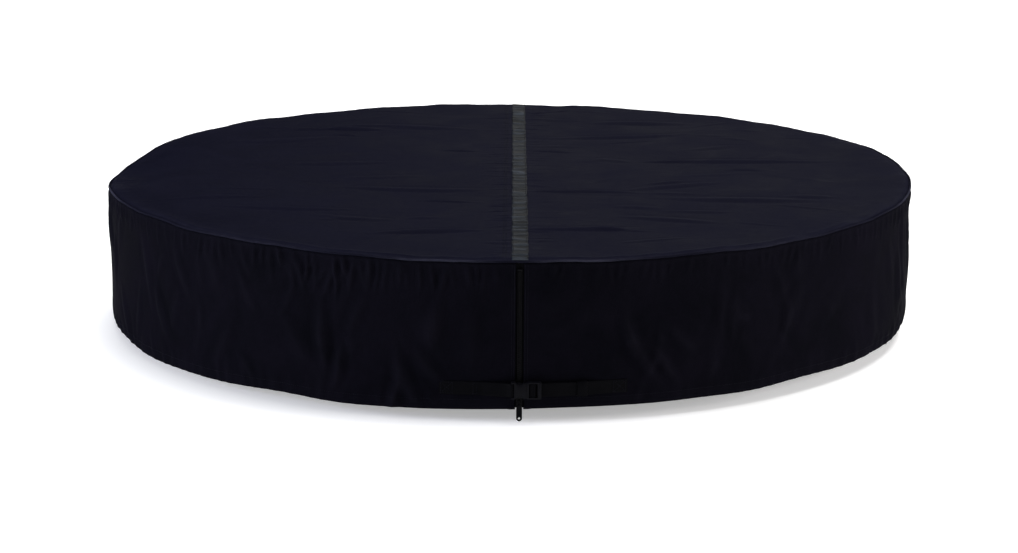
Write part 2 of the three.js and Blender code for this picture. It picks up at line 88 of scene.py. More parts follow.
def linear(colour: str) -> Rgba:
    """Turn an sRGB hex colour to linear light.

    Args:
        colour: Six hex digits after a hash.

    Returns:
        Linear red, green and blue, with full alpha.
    """
    channels = (int(colour[i : i + 2], 16) / 255 for i in (1, 3, 5))
    red, green, blue = (c / 12.92 if c <= 0.04045 else ((c + 0.055) / 1.055) ** 2.4 for c in channels)
    return (red, green, blue, 1.0)


def add(tree: NodeTree, kind: str, inputs: dict | None = None, **settings) -> bpy.types.Node:
    """Add a node with its settings and links.

    Args:
        tree: The node tree that it joins.
        kind: The node's type name.
        inputs: By socket name or index, a value or the output socket that feeds it.
        **settings: The node's own settings.

    Returns:
        The new node.
    """
    node = tree.nodes.new(kind)
    for name, value in settings.items():
        setattr(node, name, value)
    for name, value in (inputs or {}).items():
        if isinstance(value, bpy.types.NodeSocket):
            tree.links.new(value, node.inputs[name])
        else:
            node.inputs[name].default_value = value
    return node


def blank_material(name: str) -> tuple[Material, NodeTree]:
    """Start a material with no nodes in it.

    Args:
        name: The material's name.

    Returns:
        The material and its empty node tree.
    """
    material = bpy.data.materials.new(name)
    material.use_nodes = True
    material.node_tree.nodes.clear()
    return material, material.node_tree


def smooth(low: float, high: float, value: np.ndarray | float) -> np.ndarray:
    """Rise smoothly from 0 at low to 1 at high.

    Args:
        low: Where the rise begins.
        high: Where it ends, which may lie below low for a fall.
        value: One number or an array of them.

    Returns:
        The share reached at each value.
    """
    share = np.clip((np.asarray(value, float) - low) / (high - low), 0, 1)
    return share * share * (3 - 2 * share)


# ---------------------------------------------------------------- finishes


@dataclass(frozen=True)
class CoatedPolyester:
    """Woven polyester with a waterproof coating: nearly black, a dull sheen, thread grain close up."""

    name: str
    colour: str = "#08080c"
    faded: str = "#0c0b11"
    # Mixed in where the attribute is high: rubbed dirt, and a painted highlight where the attribute marks
    # ridges and piping.
    dust: str = "#17161d"
    thread: float = 1.1 * MM  # real threads lie 0.5 mm apart, drawn coarser so that the grain shows
    roughness: tuple[float, float] = (0.48, 0.66)
    specular: float = 0.0007
    sheen: float = 0.0015

    def build(self) -> Material:
        """Make the material.

        Returns:
            A material that reads the cloth's UV map and its attribute of worn spots and painted light.
        """
        material, tree = blank_material(self.name)
        uv = add(tree, "ShaderNodeUVMap", uv_map=CLOTH_UV).outputs["UV"]
        wear = add(tree, "ShaderNodeAttribute", attribute_name=WEAR_AND_PAINTED_LIGHT).outputs["Fac"]
        per_metre = 1 / self.thread
        threads = {
            "Vector": uv,
            "Scale": per_metre * math.pi / 10,
            "Distortion": 0.4,
            "Detail": 1.0,
            "Detail Scale": 0.3,
        }
        warp = add(tree, "ShaderNodeTexWave", threads, bands_direction="X")
        weft = add(tree, "ShaderNodeTexWave", threads, bands_direction="Y")
        over = add(tree, "ShaderNodeTexChecker", {"Vector": uv, "Scale": per_metre})
        weave = add(
            tree, "ShaderNodeMix", {0: over.outputs["Fac"], 2: warp.outputs["Fac"], 3: weft.outputs["Fac"]}
        )
        slub = add(
            tree, "ShaderNodeTexNoise", {"Vector": uv, "Scale": 420.0, "Detail": 2.0, "Roughness": 0.6}
        )
        mottle = add(
            tree,
            "ShaderNodeTexNoise",
            {"Vector": uv, "Scale": 7.0, "Detail": 5.0, "Roughness": 0.62, "Distortion": 0.6},
        )
        crinkle = add(
            tree,
            "ShaderNodeTexNoise",
            {"Vector": uv, "Scale": 38.0, "Detail": 4.0, "Roughness": 0.55, "Distortion": 0.9},
        )
        patch = add(
            tree, "ShaderNodeMapRange", {"Value": mottle.outputs["Fac"], "From Min": 0.34, "From Max": 0.68}
        )
        ground = add(
            tree,
            "ShaderNodeMix",
            {0: patch.outputs["Result"], 6: linear(self.colour), 7: linear(self.faded)},
            data_type="RGBA",
        )
        thread_tone = add(
            tree,
            "ShaderNodeMapRange",
            {"Value": slub.outputs["Fac"], "From Min": 0.3, "From Max": 0.7, "To Min": 0.82, "To Max": 1.18},
        )
        toned = add(
            tree,
            "ShaderNodeVectorMath",
            {0: ground.outputs[2], "Scale": thread_tone.outputs["Result"]},
            operation="SCALE",
        )
        # Lighter towards the third colour where the attribute is high, broken up by crinkle: rubbed dirt, and
        # painted highlight along the rim ridge and on the piping.
        rubbed = add(tree, "ShaderNodeMath", {0: wear, 1: crinkle.outputs["Fac"]}, operation="MULTIPLY")
        colour = add(
            tree,
            "ShaderNodeMix",
            {0: rubbed.outputs["Value"], 6: toned.outputs["Vector"], 7: linear(self.dust)},
            data_type="RGBA",
        )
        gloss = add(
            tree,
            "ShaderNodeMapRange",
            {
                "Value": mottle.outputs["Fac"],
                "From Min": 0.3,
                "From Max": 0.7,
                "To Min": self.roughness[0],
                "To Max": self.roughness[1],
            },
        )
        weave_bump = add(
            tree, "ShaderNodeBump", {"Height": weave.outputs[0], "Strength": 0.5, "Distance": 0.12 * MM}
        )
        bump = add(
            tree,
            "ShaderNodeBump",
            {
                "Height": crinkle.outputs["Fac"],
                "Normal": weave_bump.outputs["Normal"],
                "Strength": 0.55,
                "Distance": 1.6 * MM,
            },
        )
        shader = add(
            tree,
            "ShaderNodeBsdfPrincipled",
            {
                "Base Color": colour.outputs[2],
                "Roughness": gloss.outputs["Result"],
                "Normal": bump.outputs["Normal"],
                "Specular IOR Level": self.specular,
                "Specular Tint": linear("#b4b8ff"),
                "IOR": 1.5,
                "Sheen Weight": self.sheen,
                "Sheen Roughness": 0.4,
                "Sheen Tint": linear("#8c93c8"),
            },
        )
        add(tree, "ShaderNodeOutputMaterial", {"Surface": shader.outputs["BSDF"]})
        return material


@dataclass(frozen=True)
class GlassBeadTape:
    """Glass beads bonded to grey cloth: flat grey, with painted glints on the beads, painted shade between
    its gathers and painted highlight on their crests.
    """

    name: str
    colour: str = "#0a0d10"
    worn: str = "#23282f"
    lattice: float = 5 * MM  # from one embossed line to the next

    def build(self) -> Material:
        """Make the material.

        Returns:
            A material that reads the tape's UV map and its attribute of painted shade and highlight.
        """
        material, tree = blank_material(self.name)
        uv = add(tree, "ShaderNodeUVMap", uv_map=CLOTH_UV).outputs["UV"]
        wear = add(tree, "ShaderNodeAttribute", attribute_name=WEAR_AND_PAINTED_LIGHT).outputs["Fac"]
        beads = add(tree, "ShaderNodeTexVoronoi", {"Vector": uv, "Scale": 900.0})
        patches = add(
            tree, "ShaderNodeTexNoise", {"Vector": uv, "Scale": 14.0, "Detail": 5.0, "Roughness": 0.65}
        )
        turned = add(tree, "ShaderNodeMapping", {"Vector": uv, "Rotation": (0, 0, math.radians(45))})
        slants = {"Vector": turned.outputs["Vector"], "Scale": math.pi / 10 / self.lattice}
        rise = add(tree, "ShaderNodeTexWave", slants, bands_direction="X")
        fall = add(tree, "ShaderNodeTexWave", slants, bands_direction="Y")
        cells = add(
            tree, "ShaderNodeMath", {0: rise.outputs["Fac"], 1: fall.outputs["Fac"]}, operation="MAXIMUM"
        )
        ridge = add(
            tree, "ShaderNodeMapRange", {"Value": cells.outputs["Value"], "From Min": 0.86, "From Max": 1.0}
        )
        faded = add(
            tree, "ShaderNodeMapRange", {"Value": patches.outputs["Fac"], "From Min": 0.37, "From Max": 0.63}
        )
        ground = add(
            tree,
            "ShaderNodeMix",
            {0: faded.outputs["Result"], 6: linear(self.colour), 7: linear(self.worn)},
            data_type="RGBA",
        )
        # Painted glints: each bead drawn lighter at its middle and darker at its rim.
        painted_bead_glint = add(
            tree,
            "ShaderNodeMapRange",
            {
                "Value": beads.outputs["Distance"],
                "From Min": 0.0,
                "From Max": 0.5,
                "To Min": 1.25,
                "To Max": 0.85,
            },
        )
        # Painted shade in the gathers' valleys and painted highlight on their crests: the colour runs from a
        # quarter to one and a half times its own.
        crest = add(tree, "ShaderNodeMapRange", {"Value": wear, "To Min": 0.25, "To Max": 1.5})
        tone = add(
            tree,
            "ShaderNodeMath",
            {0: painted_bead_glint.outputs["Result"], 1: crest.outputs["Result"]},
            operation="MULTIPLY",
        )
        colour = add(
            tree,
            "ShaderNodeVectorMath",
            {0: ground.outputs[2], "Scale": tone.outputs["Value"]},
            operation="SCALE",
        )
        gloss = add(
            tree, "ShaderNodeMapRange", {"Value": patches.outputs["Fac"], "To Min": 0.42, "To Max": 0.58}
        )
        bump = add(
            tree,
            "ShaderNodeBump",
            {"Height": beads.outputs["Distance"], "Strength": 0.4, "Distance": 0.15 * MM},
        )
        embossed = add(
            tree,
            "ShaderNodeBump",
            {
                "Height": ridge.outputs["Result"],
                "Normal": bump.outputs["Normal"],
                "Strength": 0.5,
                "Distance": 0.25 * MM,
            },
        )
        shader = add(
            tree,
            "ShaderNodeBsdfPrincipled",
            {
                "Base Color": colour.outputs["Vector"],
                "Roughness": gloss.outputs["Result"],
                "Normal": embossed.outputs["Normal"],
                "Specular IOR Level": 0.04,
                "IOR": 1.5,
            },
        )
        add(tree, "ShaderNodeOutputMaterial", {"Surface": shader.outputs["BSDF"]})
        return material


@dataclass(frozen=True)
class RibbedTextile:
    """Webbing, elastic or zip tape, woven in a narrow band: cross ribs, a twill slant, matt black yarn."""

    name: str
    colour: str = "#020204"
    yarn: str = "#070709"
    rib: float = 2.2 * MM  # from one cross rib to the next
    slant: float = 0.6  # how far the ribs lean, 0 for none
    depth: float = 0.3 * MM
    roughness: float = 0.72

    def build(self) -> Material:
        """Make the material.

        Returns:
            A material that reads the band's UV map, with U along it.
        """
        material, tree = blank_material(self.name)
        uv = add(tree, "ShaderNodeUVMap", uv_map=CLOTH_UV).outputs["UV"]
        leaning = add(tree, "ShaderNodeMapping", {"Vector": uv, "Rotation": (0, 0, self.slant)})
        yarns = {"Scale": math.pi / 10 / self.rib, "Distortion": 0.5, "Detail": 1.0}
        ribs = add(
            tree, "ShaderNodeTexWave", {"Vector": leaning.outputs["Vector"], **yarns}, bands_direction="X"
        )
        counter = add(tree, "ShaderNodeMapping", {"Vector": uv, "Rotation": (0, 0, -self.slant)})
        cross = add(
            tree, "ShaderNodeTexWave", {"Vector": counter.outputs["Vector"], **yarns}, bands_direction="X"
        )
        woven = add(
            tree, "ShaderNodeMath", {0: ribs.outputs["Fac"], 1: cross.outputs["Fac"]}, operation="MAXIMUM"
        )
        fibre = add(tree, "ShaderNodeTexNoise", {"Vector": uv, "Scale": 700.0, "Detail": 2.0})
        patches = add(tree, "ShaderNodeTexNoise", {"Vector": uv, "Scale": 30.0, "Detail": 3.0})
        tone = add(
            tree, "ShaderNodeMath", {0: woven.outputs["Value"], 1: fibre.outputs["Fac"]}, operation="MULTIPLY"
        )
        colour = add(
            tree,
            "ShaderNodeMix",
            {0: tone.outputs["Value"], 6: linear(self.colour), 7: linear(self.yarn)},
            data_type="RGBA",
        )
        gloss = add(
            tree,
            "ShaderNodeMapRange",
            {
                "Value": patches.outputs["Fac"],
                "To Min": self.roughness - 0.08,
                "To Max": self.roughness + 0.1,
            },
        )
        bump = add(
            tree,
            "ShaderNodeBump",
            {"Height": woven.outputs["Value"], "Strength": 0.8, "Distance": self.depth},
        )
        shader = add(
            tree,
            "ShaderNodeBsdfPrincipled",
            {
                "Base Color": colour.outputs[2],
                "Roughness": gloss.outputs["Result"],
                "Normal": bump.outputs["Normal"],
                "Specular IOR Level": 0.03,
                "IOR": 1.5,
                "Sheen Weight": 0.003,
                "Sheen Roughness": 0.5,
            },
        )
        add(tree, "ShaderNodeOutputMaterial", {"Surface": shader.outputs["BSDF"]})
        return material


@dataclass(frozen=True)
class MouldedAcetal:
    """Injection-moulded acetal: black, an even satin from the spark-eroded mould, faint rubbed marks."""

    name: str
    colour: str = "#07070b"
    rubbed: str = "#0d0d13"
    roughness: tuple[float, float] = (0.34, 0.5)
    specular: float = 0.05
    grain: float = 0.5 * MM

    def build(self) -> Material:
        """Make the material.

        Returns:
            A material that reads Object coordinates.
        """
        material, tree = blank_material(self.name)
        place = add(tree, "ShaderNodeTexCoord").outputs["Object"]
        grain = add(tree, "ShaderNodeTexNoise", {"Vector": place, "Scale": 1 / self.grain, "Detail": 2.0})
        marks = add(
            tree, "ShaderNodeTexNoise", {"Vector": place, "Scale": 160.0, "Detail": 5.0, "Roughness": 0.7}
        )
        rub = add(
            tree, "ShaderNodeMapRange", {"Value": marks.outputs["Fac"], "From Min": 0.5, "From Max": 0.75}
        )
        colour = add(
            tree,
            "ShaderNodeMix",
            {0: rub.outputs["Result"], 6: linear(self.colour), 7: linear(self.rubbed)},
            data_type="RGBA",
        )
        gloss = add(
            tree,
            "ShaderNodeMapRange",
            {
                "Value": marks.outputs["Fac"],
                "From Min": 0.3,
                "From Max": 0.7,
                "To Min": self.roughness[0],
                "To Max": self.roughness[1],
            },
        )
        bump = add(
            tree, "ShaderNodeBump", {"Height": grain.outputs["Fac"], "Strength": 0.35, "Distance": 0.06 * MM}
        )
        shader = add(
            tree,
            "ShaderNodeBsdfPrincipled",
            {
                "Base Color": colour.outputs[2],
                "Roughness": gloss.outputs["Result"],
                "Normal": bump.outputs["Normal"],
                "Specular IOR Level": self.specular,
                "IOR": 1.48,
            },
        )
        add(tree, "ShaderNodeOutputMaterial", {"Surface": shader.outputs["BSDF"]})
        return material


@dataclass(frozen=True)
class EnamelledZinc:
    """Die-cast zinc under stove enamel: glossy black, softly uneven, bare metal glinting at rubbed spots."""

    name: str
    enamel: str = "#040406"
    bare: str = "#1c1c20"

    def build(self) -> Material:
        """Make the material.

        Returns:
            A material that reads Object coordinates.
        """
        material, tree = blank_material(self.name)
        place = add(tree, "ShaderNodeTexCoord").outputs["Object"]
        scuffs = add(
            tree, "ShaderNodeTexNoise", {"Vector": place, "Scale": 520.0, "Detail": 4.0, "Roughness": 0.7}
        )
        worn = add(
            tree, "ShaderNodeMapRange", {"Value": scuffs.outputs["Fac"], "From Min": 0.66, "From Max": 0.72}
        )
        colour = add(
            tree,
            "ShaderNodeMix",
            {0: worn.outputs["Result"], 6: linear(self.enamel), 7: linear(self.bare)},
            data_type="RGBA",
        )
        gloss = add(
            tree,
            "ShaderNodeMapRange",
            {"Value": scuffs.outputs["Fac"], "From Min": 0.3, "From Max": 0.7, "To Min": 0.2, "To Max": 0.38},
        )
        orange_peel = add(tree, "ShaderNodeTexNoise", {"Vector": place, "Scale": 900.0, "Detail": 1.0})
        bump = add(
            tree,
            "ShaderNodeBump",
            {"Height": orange_peel.outputs["Fac"], "Strength": 0.25, "Distance": 0.08 * MM},
        )
        shader = add(
            tree,
            "ShaderNodeBsdfPrincipled",
            {
                "Base Color": colour.outputs[2],
                "Roughness": gloss.outputs["Result"],
                "Metallic": worn.outputs["Result"],
                "Normal": bump.outputs["Normal"],
                "Specular IOR Level": 0.035,
            },
        )
        add(tree, "ShaderNodeOutputMaterial", {"Surface": shader.outputs["BSDF"]})
        return material


@dataclass(frozen=True)
class BondedThread:
    """Bonded polyester sewing thread: plied and slightly waxed, a touch lighter than the cloth."""

    name: str
    colour: str = "#0c0c12"
    ply: str = "#14141b"

    def build(self) -> Material:
        """Make the material.

        Returns:
            A material that reads Object coordinates.
        """
        material, tree = blank_material(self.name)
        place = add(tree, "ShaderNodeTexCoord").outputs["Object"]
        strands = add(tree, "ShaderNodeTexNoise", {"Vector": place, "Scale": 1400.0, "Detail": 2.0})
        colour = add(
            tree,
            "ShaderNodeMix",
            {0: strands.outputs["Fac"], 6: linear(self.colour), 7: linear(self.ply)},
            data_type="RGBA",
        )
        gloss = add(
            tree, "ShaderNodeMapRange", {"Value": strands.outputs["Fac"], "To Min": 0.45, "To Max": 0.65}
        )
        bump = add(
            tree, "ShaderNodeBump", {"Height": strands.outputs["Fac"], "Strength": 0.5, "Distance": 0.15 * MM}
        )
        shader = add(
            tree,
            "ShaderNodeBsdfPrincipled",
            {
                "Base Color": colour.outputs[2],
                "Roughness": gloss.outputs["Result"],
                "Normal": bump.outputs["Normal"],
                "Specular IOR Level": 0.02,
                "IOR": 1.5,
            },
        )
        add(tree, "ShaderNodeOutputMaterial", {"Surface": shader.outputs["BSDF"]})
        return material


def made(finish: type, name: str, **settings) -> Material:
    """A dataclass field that starts as one finish, made when its owner is."""
    return field(default_factory=lambda: finish(name, **settings).build())


@dataclass
class Wardrobe:
    """Every finish on the cover, made once."""

    # The top and the skirt are one cloth in two copies: the top's lighter, bluer colours are painted light
    # from above, the skirt's darker default colours are painted shade on its upright walls.
    top: Material = made(
        CoatedPolyester,
        "Coated polyester, top",
        colour="#0a0a15",
        faded="#0f0f1a",
        dust="#191924",
        specular=0.005,
        sheen=0.004,
    )
    skirt: Material = made(CoatedPolyester, "Coated polyester, skirt")
    # The piping is the same dark cloth drawn lighter: a painted highlight along the rim seam.
    piping: Material = made(
        CoatedPolyester,
        "Coated polyester, bias-cut piping",
        colour="#0e0e16",
        faded="#14141d",
        dust="#33333f",
    )
    tape: Material = made(GlassBeadTape, "Glass-bead reflective tape")
    binding: Material = made(
        CoatedPolyester, "Polyester seam binding", colour="#101016", faded="#17171f", thread=0.9 * MM
    )
    elastic: Material = made(
        RibbedTextile, "Woven ribbed elastic", colour="#141416", yarn="#232327", rib=3 * MM, slant=0.0
    )
    zip_tape: Material = made(RibbedTextile, "Herringbone zip tape", rib=1.4 * MM, slant=0.8, depth=0.15 * MM)
    webbing: Material = made(RibbedTextile, "Polyester webbing")
    teeth: Material = made(MouldedAcetal, "Moulded acetal, zip teeth", colour="#060608", rubbed="#0d0d11")
    buckle: Material = made(MouldedAcetal, "Moulded acetal, buckle")
    keeper: Material = made(
        MouldedAcetal, "Moulded acetal, keeper", colour="#040406", rubbed="#08080b", specular=0.02
    )
    slider: Material = made(EnamelledZinc, "Black enamelled zinc")
    thread: Material = made(BondedThread, "Bonded polyester thread")


# ---------------------------------------------------------------- where things are


@dataclass(frozen=True)
class Layout:
    """The cover's main places, from the frame's boxes.

    The closure's own axes start on the skirt's outside at the zip: x along the skirt, y inwards, z up.
    """

    radius: float
    seam_x: float
    skirt_top: float
    hem: float
    strap_z: float

    @classmethod
    def from_frame(cls) -> "Layout":
        """Read the places from the frame.

        Returns:
            The layout that every sub-assembly builds on.
        """
        skirt_low, skirt_high = (Vector(corner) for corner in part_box("skirt_left"))
        strip_low, strip_high = (Vector(corner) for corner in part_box("reflective_strip"))
        strap_low, strap_high = (Vector(corner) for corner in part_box("strap_left"))
        return cls(
            radius=round(-skirt_low.x, 3),
            seam_x=(strip_low.x + strip_high.x) / 2,
            skirt_top=skirt_high.z,
            hem=skirt_low.z,
            strap_z=(strap_low.z + strap_high.z) / 2,
        )

    @property
    def lean(self) -> float:
        """The angle by which the closure is turned from facing straight ahead."""
        return math.asin(self.seam_x / self.radius)

    @property
    def front(self) -> float:
        """The zip's angle round the cover."""
        return self.lean - math.pi / 2

    @property
    def back(self) -> float:
        """The back seam's angle round the cover."""
        return math.pi / 2 - self.lean

    def wall(self, x: float) -> float:
        """How far the skirt has curved back at x in the closure's axes."""
        return self.radius - math.sqrt(self.radius**2 - x * x)

    def place(self, x: float, y: float, z: float) -> Vector:
        """Take a point from the closure's axes to the cover's.

        Args:
            x: Along the skirt, to the right.
            y: Inwards.
            z: Up.

        Returns:
            The same point in the cover's axes.
        """
        cosine, sine = math.cos(self.lean), math.sin(self.lean)
        origin_y = -math.sqrt(self.radius**2 - self.seam_x**2)
        return Vector((self.seam_x + x * cosine - y * sine, origin_y + x * sine + y * cosine, z))


# ---------------------------------------------------------------- cloth surfaces


@dataclass(frozen=True)
class Crease:
    """One soft ridge in a cloth, in the cloth's own flat metres."""

    u: float
    v: float
    heading: float  # degrees, 0 along u
    length: float
    width: float
    height: float
    bend: float = 0.0  # how far its middle bows sideways, as a share of its length


@dataclass
class Creases:
    """A set of ridges, and how much they lift the cloth at any place."""

    ridges: list[Crease] = field(default_factory=list)

    def lift(self, u: np.ndarray, v: np.ndarray) -> np.ndarray:
        """Add up the ridges' heights.

        Args:
            u: First flat coordinate of each place.
            v: Second flat coordinate of each place.

        Returns:
            The lift at each place.
        """
        total = np.zeros_like(u)
        for ridge in self.ridges:
            turn = math.radians(ridge.heading)
            du, dv = u - ridge.u, v - ridge.v
            along = (du * math.cos(turn) + dv * math.sin(turn)) / (ridge.length / 2)
            near = np.abs(along) < 1
            if not near.any():
                continue
            along = along[near]
            across = -du[near] * math.sin(turn) + dv[near] * math.cos(turn)
            across = across - ridge.bend * ridge.length * (1 - along**2)
            share = across / (ridge.width * (0.45 + 0.55 * (1 - along**2)))
            crest = np.exp(0.5 - np.sqrt(share**2 + 0.25)) - 0.42 * np.exp(-((np.abs(share) - 2.2) ** 2))
            total[near] += ridge.height * (1 - along**2) ** 1.5 * crest
        return total


@dataclass
class ClothGrid:
    """A cloth surface as rows of points, with its flat coordinates and its attribute of worn spots and
    painted light.
    """

    points: np.ndarray  # rows, columns, 3
    flat: np.ndarray  # rows, columns, 2, in metres
    wear: np.ndarray  # rows, columns, 0 to 1

    def build(self, name: str, material: Material, outward: Vector | None = None) -> Object:
        """Make the surface's mesh.

        Args:
            name: The piece's name.
            material: Its finish.
            outward: Where the middle faces look, or None for away from the cover's axis.

        Returns:
            The new object, one layer thick.
        """
        rows, columns = self.points.shape[:2]
        index = np.arange(rows * columns).reshape(rows, columns)
        quads = np.stack([index[:-1, :-1], index[:-1, 1:], index[1:, 1:], index[1:, :-1]], -1).reshape(-1, 4)
        mid = self.points[rows // 2 : rows // 2 + 2, columns // 2 : columns // 2 + 2]
        normal = np.cross(mid[0, 1] - mid[0, 0], mid[1, 0] - mid[0, 0])
        facing = np.array(outward) if outward is not None else np.array([mid[0, 0][0], mid[0, 0][1], 0])
        if normal @ facing < 0:
            quads = quads[:, ::-1]
        mesh = bpy.data.meshes.new(name)
        mesh.from_pydata(self.points.reshape(-1, 3), [], quads.tolist())
        loops = np.empty(len(mesh.loops), int)
        mesh.loops.foreach_get("vertex_index", loops)
        mesh.uv_layers.new(name=CLOTH_UV).data.foreach_set("uv", self.flat.reshape(-1, 2)[loops].ravel())
        mesh.attributes.new(WEAR_AND_PAINTED_LIGHT, "FLOAT", "POINT").data.foreach_set("value", self.wear.ravel())
        return dressed(name, mesh, material)


def dressed(name: str, mesh: bpy.types.Mesh, material: Material) -> Object:
    """Make an object of a mesh, shade it smooth and give it its finish.

    Args:
        name: The object's name.
        mesh: Its mesh, already in place.
        material: Its finish.

    Returns:
        The new object, linked to the scene at the origin.
    """
    mesh.materials.clear()
    mesh.materials.append(material)
    mesh.polygons.foreach_set("use_smooth", [True] * len(mesh.polygons))
    mesh.update()
    piece = bpy.data.objects.new(name, mesh)
    bpy.context.scene.collection.objects.link(piece)
    return piece


def merged(piece: Object, distance: float = 0.02 * MM) -> None:
    """Close a mesh's doubled points.

    Args:
        piece: The object whose mesh is closed.
        distance: Points nearer than this become one.
    """
    shell = bmesh.new()
    shell.from_mesh(piece.data)
    bmesh.ops.remove_doubles(shell, verts=shell.verts, dist=distance)
    bmesh.ops.dissolve_degenerate(shell, edges=shell.edges, dist=distance / 10)
    shell.to_mesh(piece.data)
    shell.free()


def thickened(piece: Object, thickness: float, offset: float = -1.0) -> None:
    """Give a one-layer cloth its wall.

    Args:
        piece: The cloth.
        thickness: The wall.
        offset: -1 to grow inwards from the modelled face, 1 outwards, 0 both ways.
    """
    wall = piece.modifiers.new("wall", "SOLIDIFY")
    wall.thickness = thickness
    wall.offset = offset
    wall.use_even_offset = False
    wall.use_rim = True


def swept(
    name: str,
    path: np.ndarray,
    out: np.ndarray,
    section: Sequence[tuple[float, float]],
    material: Material,
    up: Vector = Vector((0, 0, 1)),
) -> Object:
    """Carry a closed section along a path and cap its ends.

    Args:
        name: The piece's name.
        path: Points of the path, one row each.
        out: The section's first axis at each point.
        section: Corners of the section as (outwards, upwards), counter-clockwise.
        material: Its finish.
        up: The section's second axis.

    Returns:
        The new object.
    """
    corners = np.array(section)
    ring = (
        path[:, None, :]
        + out[:, None, :] * corners[None, :, :1]
        + np.array(up)[None, None, :] * corners[None, :, 1:]
    )
    count, sides = ring.shape[:2]
    along = np.concatenate([[0], np.cumsum(np.linalg.norm(np.diff(path, axis=0), axis=1))])
    around = np.concatenate(
        [[0], np.cumsum(np.linalg.norm(np.diff(np.vstack([corners, corners[:1]]), axis=0), axis=1))]
    )
    shell = bmesh.new()
    layer = shell.loops.layers.uv.new(CLOTH_UV)
    verts = [[shell.verts.new(point) for point in row] for row in ring]
    for i in range(count - 1):
        for j in range(sides):
            after = (j + 1) % sides
            face = shell.faces.new((verts[i][j], verts[i][after], verts[i + 1][after], verts[i + 1][j]))
            spots = (
                (along[i], around[j]),
                (along[i], around[j + 1]),
                (along[i + 1], around[j + 1]),
                (along[i + 1], around[j]),
            )
            for loop, spot in zip(face.loops, spots):
                loop[layer].uv = spot
    shell.faces.new(verts[0])
    shell.faces.new(verts[-1])
    bmesh.ops.recalc_face_normals(shell, faces=shell.faces)
    mesh = bpy.data.meshes.new(name)
    shell.to_mesh(mesh)
    shell.free()
    return dressed(name, mesh, material)


def on_surface(piece: Object, points: Iterable[Vector], lift: float) -> list[Vector]:
    """Lay points on a cloth.

    Args:
        piece: The cloth, whose modelled face looks outwards.
        points: Places near it.
        lift: How far above the cloth each point ends.

    Returns:
        The points on the cloth.
    """
    tree = BVHTree.FromPolygons(
        [v.co for v in piece.data.vertices], [p.vertices for p in piece.data.polygons]
    )
    laid = []
    for point in points:
        spot, normal, _, _ = tree.find_nearest(point)
        laid.append(spot + normal * lift)
    return laid


# ---------------------------------------------------------------- the cloth cover


